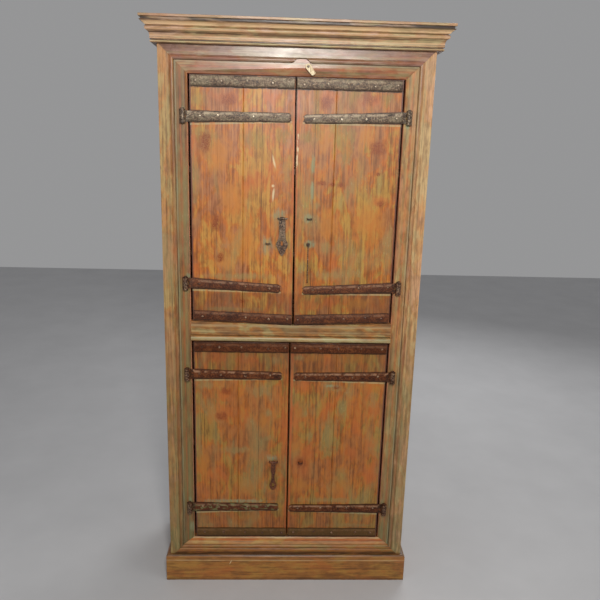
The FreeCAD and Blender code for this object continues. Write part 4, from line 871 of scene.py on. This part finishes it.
def forged(name, nail_shares, draw):
    """A strap beaten by hand: wavy edges, a dented face, a bevelled rim, and places for its nails."""
    bm = clean_copy(name)
    low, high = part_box(name)
    start, end = max(low[0], -LEAF_EDGE) + STRAP_END_GAP, min(high[0], LEAF_EDGE) - STRAP_END_GAP
    for count in range(STRAP_STEPS + 1):
        place = start + (end - start) * count / STRAP_STEPS
        bmesh.ops.bisect_plane(bm, geom=bm.verts[:] + bm.edges[:] + bm.faces[:], dist=SAME_POINT,
                               plane_co=(place, 0.0, 0.0), plane_no=(1.0, 0.0, 0.0))
    outlines = []
    for solid in list(islands(bm)):
        outline = Outline(solid)
        turns = [draw.uniform(0.0, FULL_TURN) for _ in WAVE_RATES]
        for vertex in solid:
            x, y, z = vertex.co
            if abs(x) > LEAF_EDGE + TOLERANCE:
                continue
            bottom, top = outline.at(x)
            waves = [0.5 + 0.5 * math.sin(x * rate + turn) for rate, turn in zip(WAVE_RATES, turns)]
            if z > top - STRAP_SKIN:
                vertex.co.z -= STRAP_WAVE * waves[0] * waves[1]
            elif z < bottom + STRAP_SKIN:
                vertex.co.z += STRAP_WAVE * waves[2] * waves[3]
            if y < IRON_FACE + STRAP_SKIN:
                vertex.co.y += STRAP_DENT * waves[1] * waves[2]
        outlines.append(outline)
    for face in bm.faces:
        face.smooth = True
    rims = [edge for edge in bm.edges if len(edge.link_faces) == 2 and edge.calc_face_angle() > SHARP
            and all(vertex.co.y < LEAF_FACE - STRAP_PROUD for vertex in edge.verts)
            and all(abs(vertex.co.x) < LEAF_EDGE + TOLERANCE for vertex in edge.verts)]
    bmesh.ops.bevel(bm, geom=rims, offset=STRAP_RIM, segments=2, profile=0.55, affect="EDGES",
                    clamp_overlap=True)
    layer = bm.verts.layers.float.new("across")
    for solid in list(islands(bm)):
        middle = sum(vertex.co.z for vertex in solid) / len(solid)
        outline = min(outlines, key=lambda one: abs(sum(one.at(solid[0].co.x)) / 2.0 - middle))
        for vertex in solid:
            bottom, top = outline.at(vertex.co.x)
            inside = abs(vertex.co.x) < LEAF_EDGE + TOLERANCE
            vertex[layer] = (vertex.co.z - bottom) / (top - bottom) if inside else 0.5
    body = frame["nodes"][name]["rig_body"]
    for outline in outlines:
        for share in nail_shares:
            x = start + (end - start) * share + draw.uniform(-NAIL_STRAY, NAIL_STRAY)
            bottom, top = outline.at(x)
            level = bottom + (top - bottom) * draw.uniform(*NAIL_LEVEL_SHARES)
            NAIL_PLACES[body].append((x, IRON_FACE + NAIL_SUNK, level))
    put("forged_" + name, bm, finish_of(name), body, name)


def nail_tree():
    """Geometry nodes that set a beaten nail head on every point."""
    tree = bpy.data.node_groups.new("nail_heads", "GeometryNodeTree")
    face = tree.interface
    face.new_socket("Points", in_out="INPUT", socket_type="NodeSocketGeometry")
    inputs = {name: face.new_socket(name, in_out="INPUT", socket_type=kind)
              for name, kind in (("Radius", "NodeSocketFloat"), ("Height", "NodeSocketFloat"),
                                 ("Seed", "NodeSocketInt"), ("Finish", "NodeSocketMaterial"))}
    face.new_socket("Heads", in_out="OUTPUT", socket_type="NodeSocketGeometry")

    def add(kind, **settings):
        node = tree.nodes.new(kind)
        for key, value in settings.items():
            setattr(node, key, value)
        return node

    start, end = add("NodeGroupInput"), add("NodeGroupOutput")
    head = add("GeometryNodeMeshUVSphere")
    head.inputs["Segments"].default_value = 8
    head.inputs["Rings"].default_value = 6
    head.inputs["Radius"].default_value = 1.0
    size = add("ShaderNodeCombineXYZ")
    spread = add("FunctionNodeRandomValue", data_type="FLOAT_VECTOR")
    spread.inputs["Min"].default_value = (0.80, 0.75, 0.80)
    spread.inputs["Max"].default_value = (1.15, 1.10, 1.15)
    turn = add("FunctionNodeRandomValue", data_type="FLOAT_VECTOR")
    turn.inputs["Min"].default_value = (-0.15, 0.0, -0.15)
    turn.inputs["Max"].default_value = (0.15, FULL_TURN, 0.15)
    scale = add("ShaderNodeVectorMath", operation="MULTIPLY")
    spawn = add("GeometryNodeInstanceOnPoints")
    real = add("GeometryNodeRealizeInstances")
    paint = add("GeometryNodeSetMaterial")
    links = (
        (start.outputs["Radius"], size.inputs["X"]),
        (start.outputs["Height"], size.inputs["Y"]),
        (start.outputs["Radius"], size.inputs["Z"]),
        (start.outputs["Seed"], spread.inputs["Seed"]),
        (start.outputs["Seed"], turn.inputs["Seed"]),
        (size.outputs[0], scale.inputs[0]),
        (spread.outputs[0], scale.inputs[1]),
        (start.outputs["Points"], spawn.inputs["Points"]),
        (head.outputs["Mesh"], spawn.inputs["Instance"]),
        (turn.outputs[0], spawn.inputs["Rotation"]),
        (scale.outputs[0], spawn.inputs["Scale"]),
        (spawn.outputs[0], real.inputs[0]),
        (real.outputs[0], paint.inputs["Geometry"]),
        (start.outputs["Finish"], paint.inputs["Material"]),
        (paint.outputs[0], end.inputs["Heads"]),
    )
    for first, second in links:
        tree.links.new(first, second)
    return tree, {name: socket.identifier for name, socket in inputs.items()}


def nails():
    """One piece of nail heads for each door."""
    tree, sockets = nail_tree()
    scene = bpy.context.scene
    for count, (body, places) in enumerate(NAIL_PLACES.items()):
        mesh = bpy.data.meshes.new("nail_points")
        mesh.from_pydata(places, [], [])
        points = bpy.data.objects.new("nail_points", mesh)
        scene.collection.objects.link(points)
        modifier = points.modifiers.new("heads", "NODES")
        modifier.node_group = tree
        values = {"Radius": NAIL_RADIUS, "Height": NAIL_HEIGHT, "Seed": FIRST_NAIL_SEED + count,
                  "Finish": FINISHES["nails"]}
        for name, value in values.items():
            modifier[sockets[name]] = value
        dressed = points.evaluated_get(bpy.context.evaluated_depsgraph_get())
        heads = bpy.data.meshes.new_from_object(dressed)
        points.modifiers.remove(modifier)
        bpy.data.objects.remove(points)
        bm = bmesh.new()
        bm.from_mesh(heads)
        for face in bm.faces:
            face.smooth = True
        piece = put("nails_" + body, bm, FINISHES["nails"], body)


def rub_of(name):
    """How far the edges of a piece are rubbed, or nothing where it keeps its edges."""
    if name in ("cornice_rail", "plinth_blocks", "back_planks"):
        return None
    if name.startswith(("outer", "inner", "mid_rail", "plinth_", "top_board", "cornice_")):
        return RUBBED_FRAME
    if name.endswith("_planks"):
        return RUBBED_LEAF
    if name in ("upper_hasp", "lower_hasp", "turn_button", "hook_nail", "button_nail"):
        return RUBBED_FITTING
    return None


def dress():
    """Worn wood, forged straps, nails, and a finish for what stays as it is."""
    draw = random.Random(STRAP_SEED)
    for name in frame["nodes"]:
        if name.endswith("hinge_strap"):
            forged(name, LEFT_NAIL_SHARES if "_left_" in name else RIGHT_NAIL_SHARES, draw)
        elif name.endswith("edge_straps"):
            forged(name, EDGE_NAIL_SHARES, draw)
        elif rub_of(name):
            worn(name, rub_of(name))
        else:
            for slot in frame["nodes"][name].material_slots:
                slot.material = finish_of(name)
    nails()


camera()
studio()
dress()
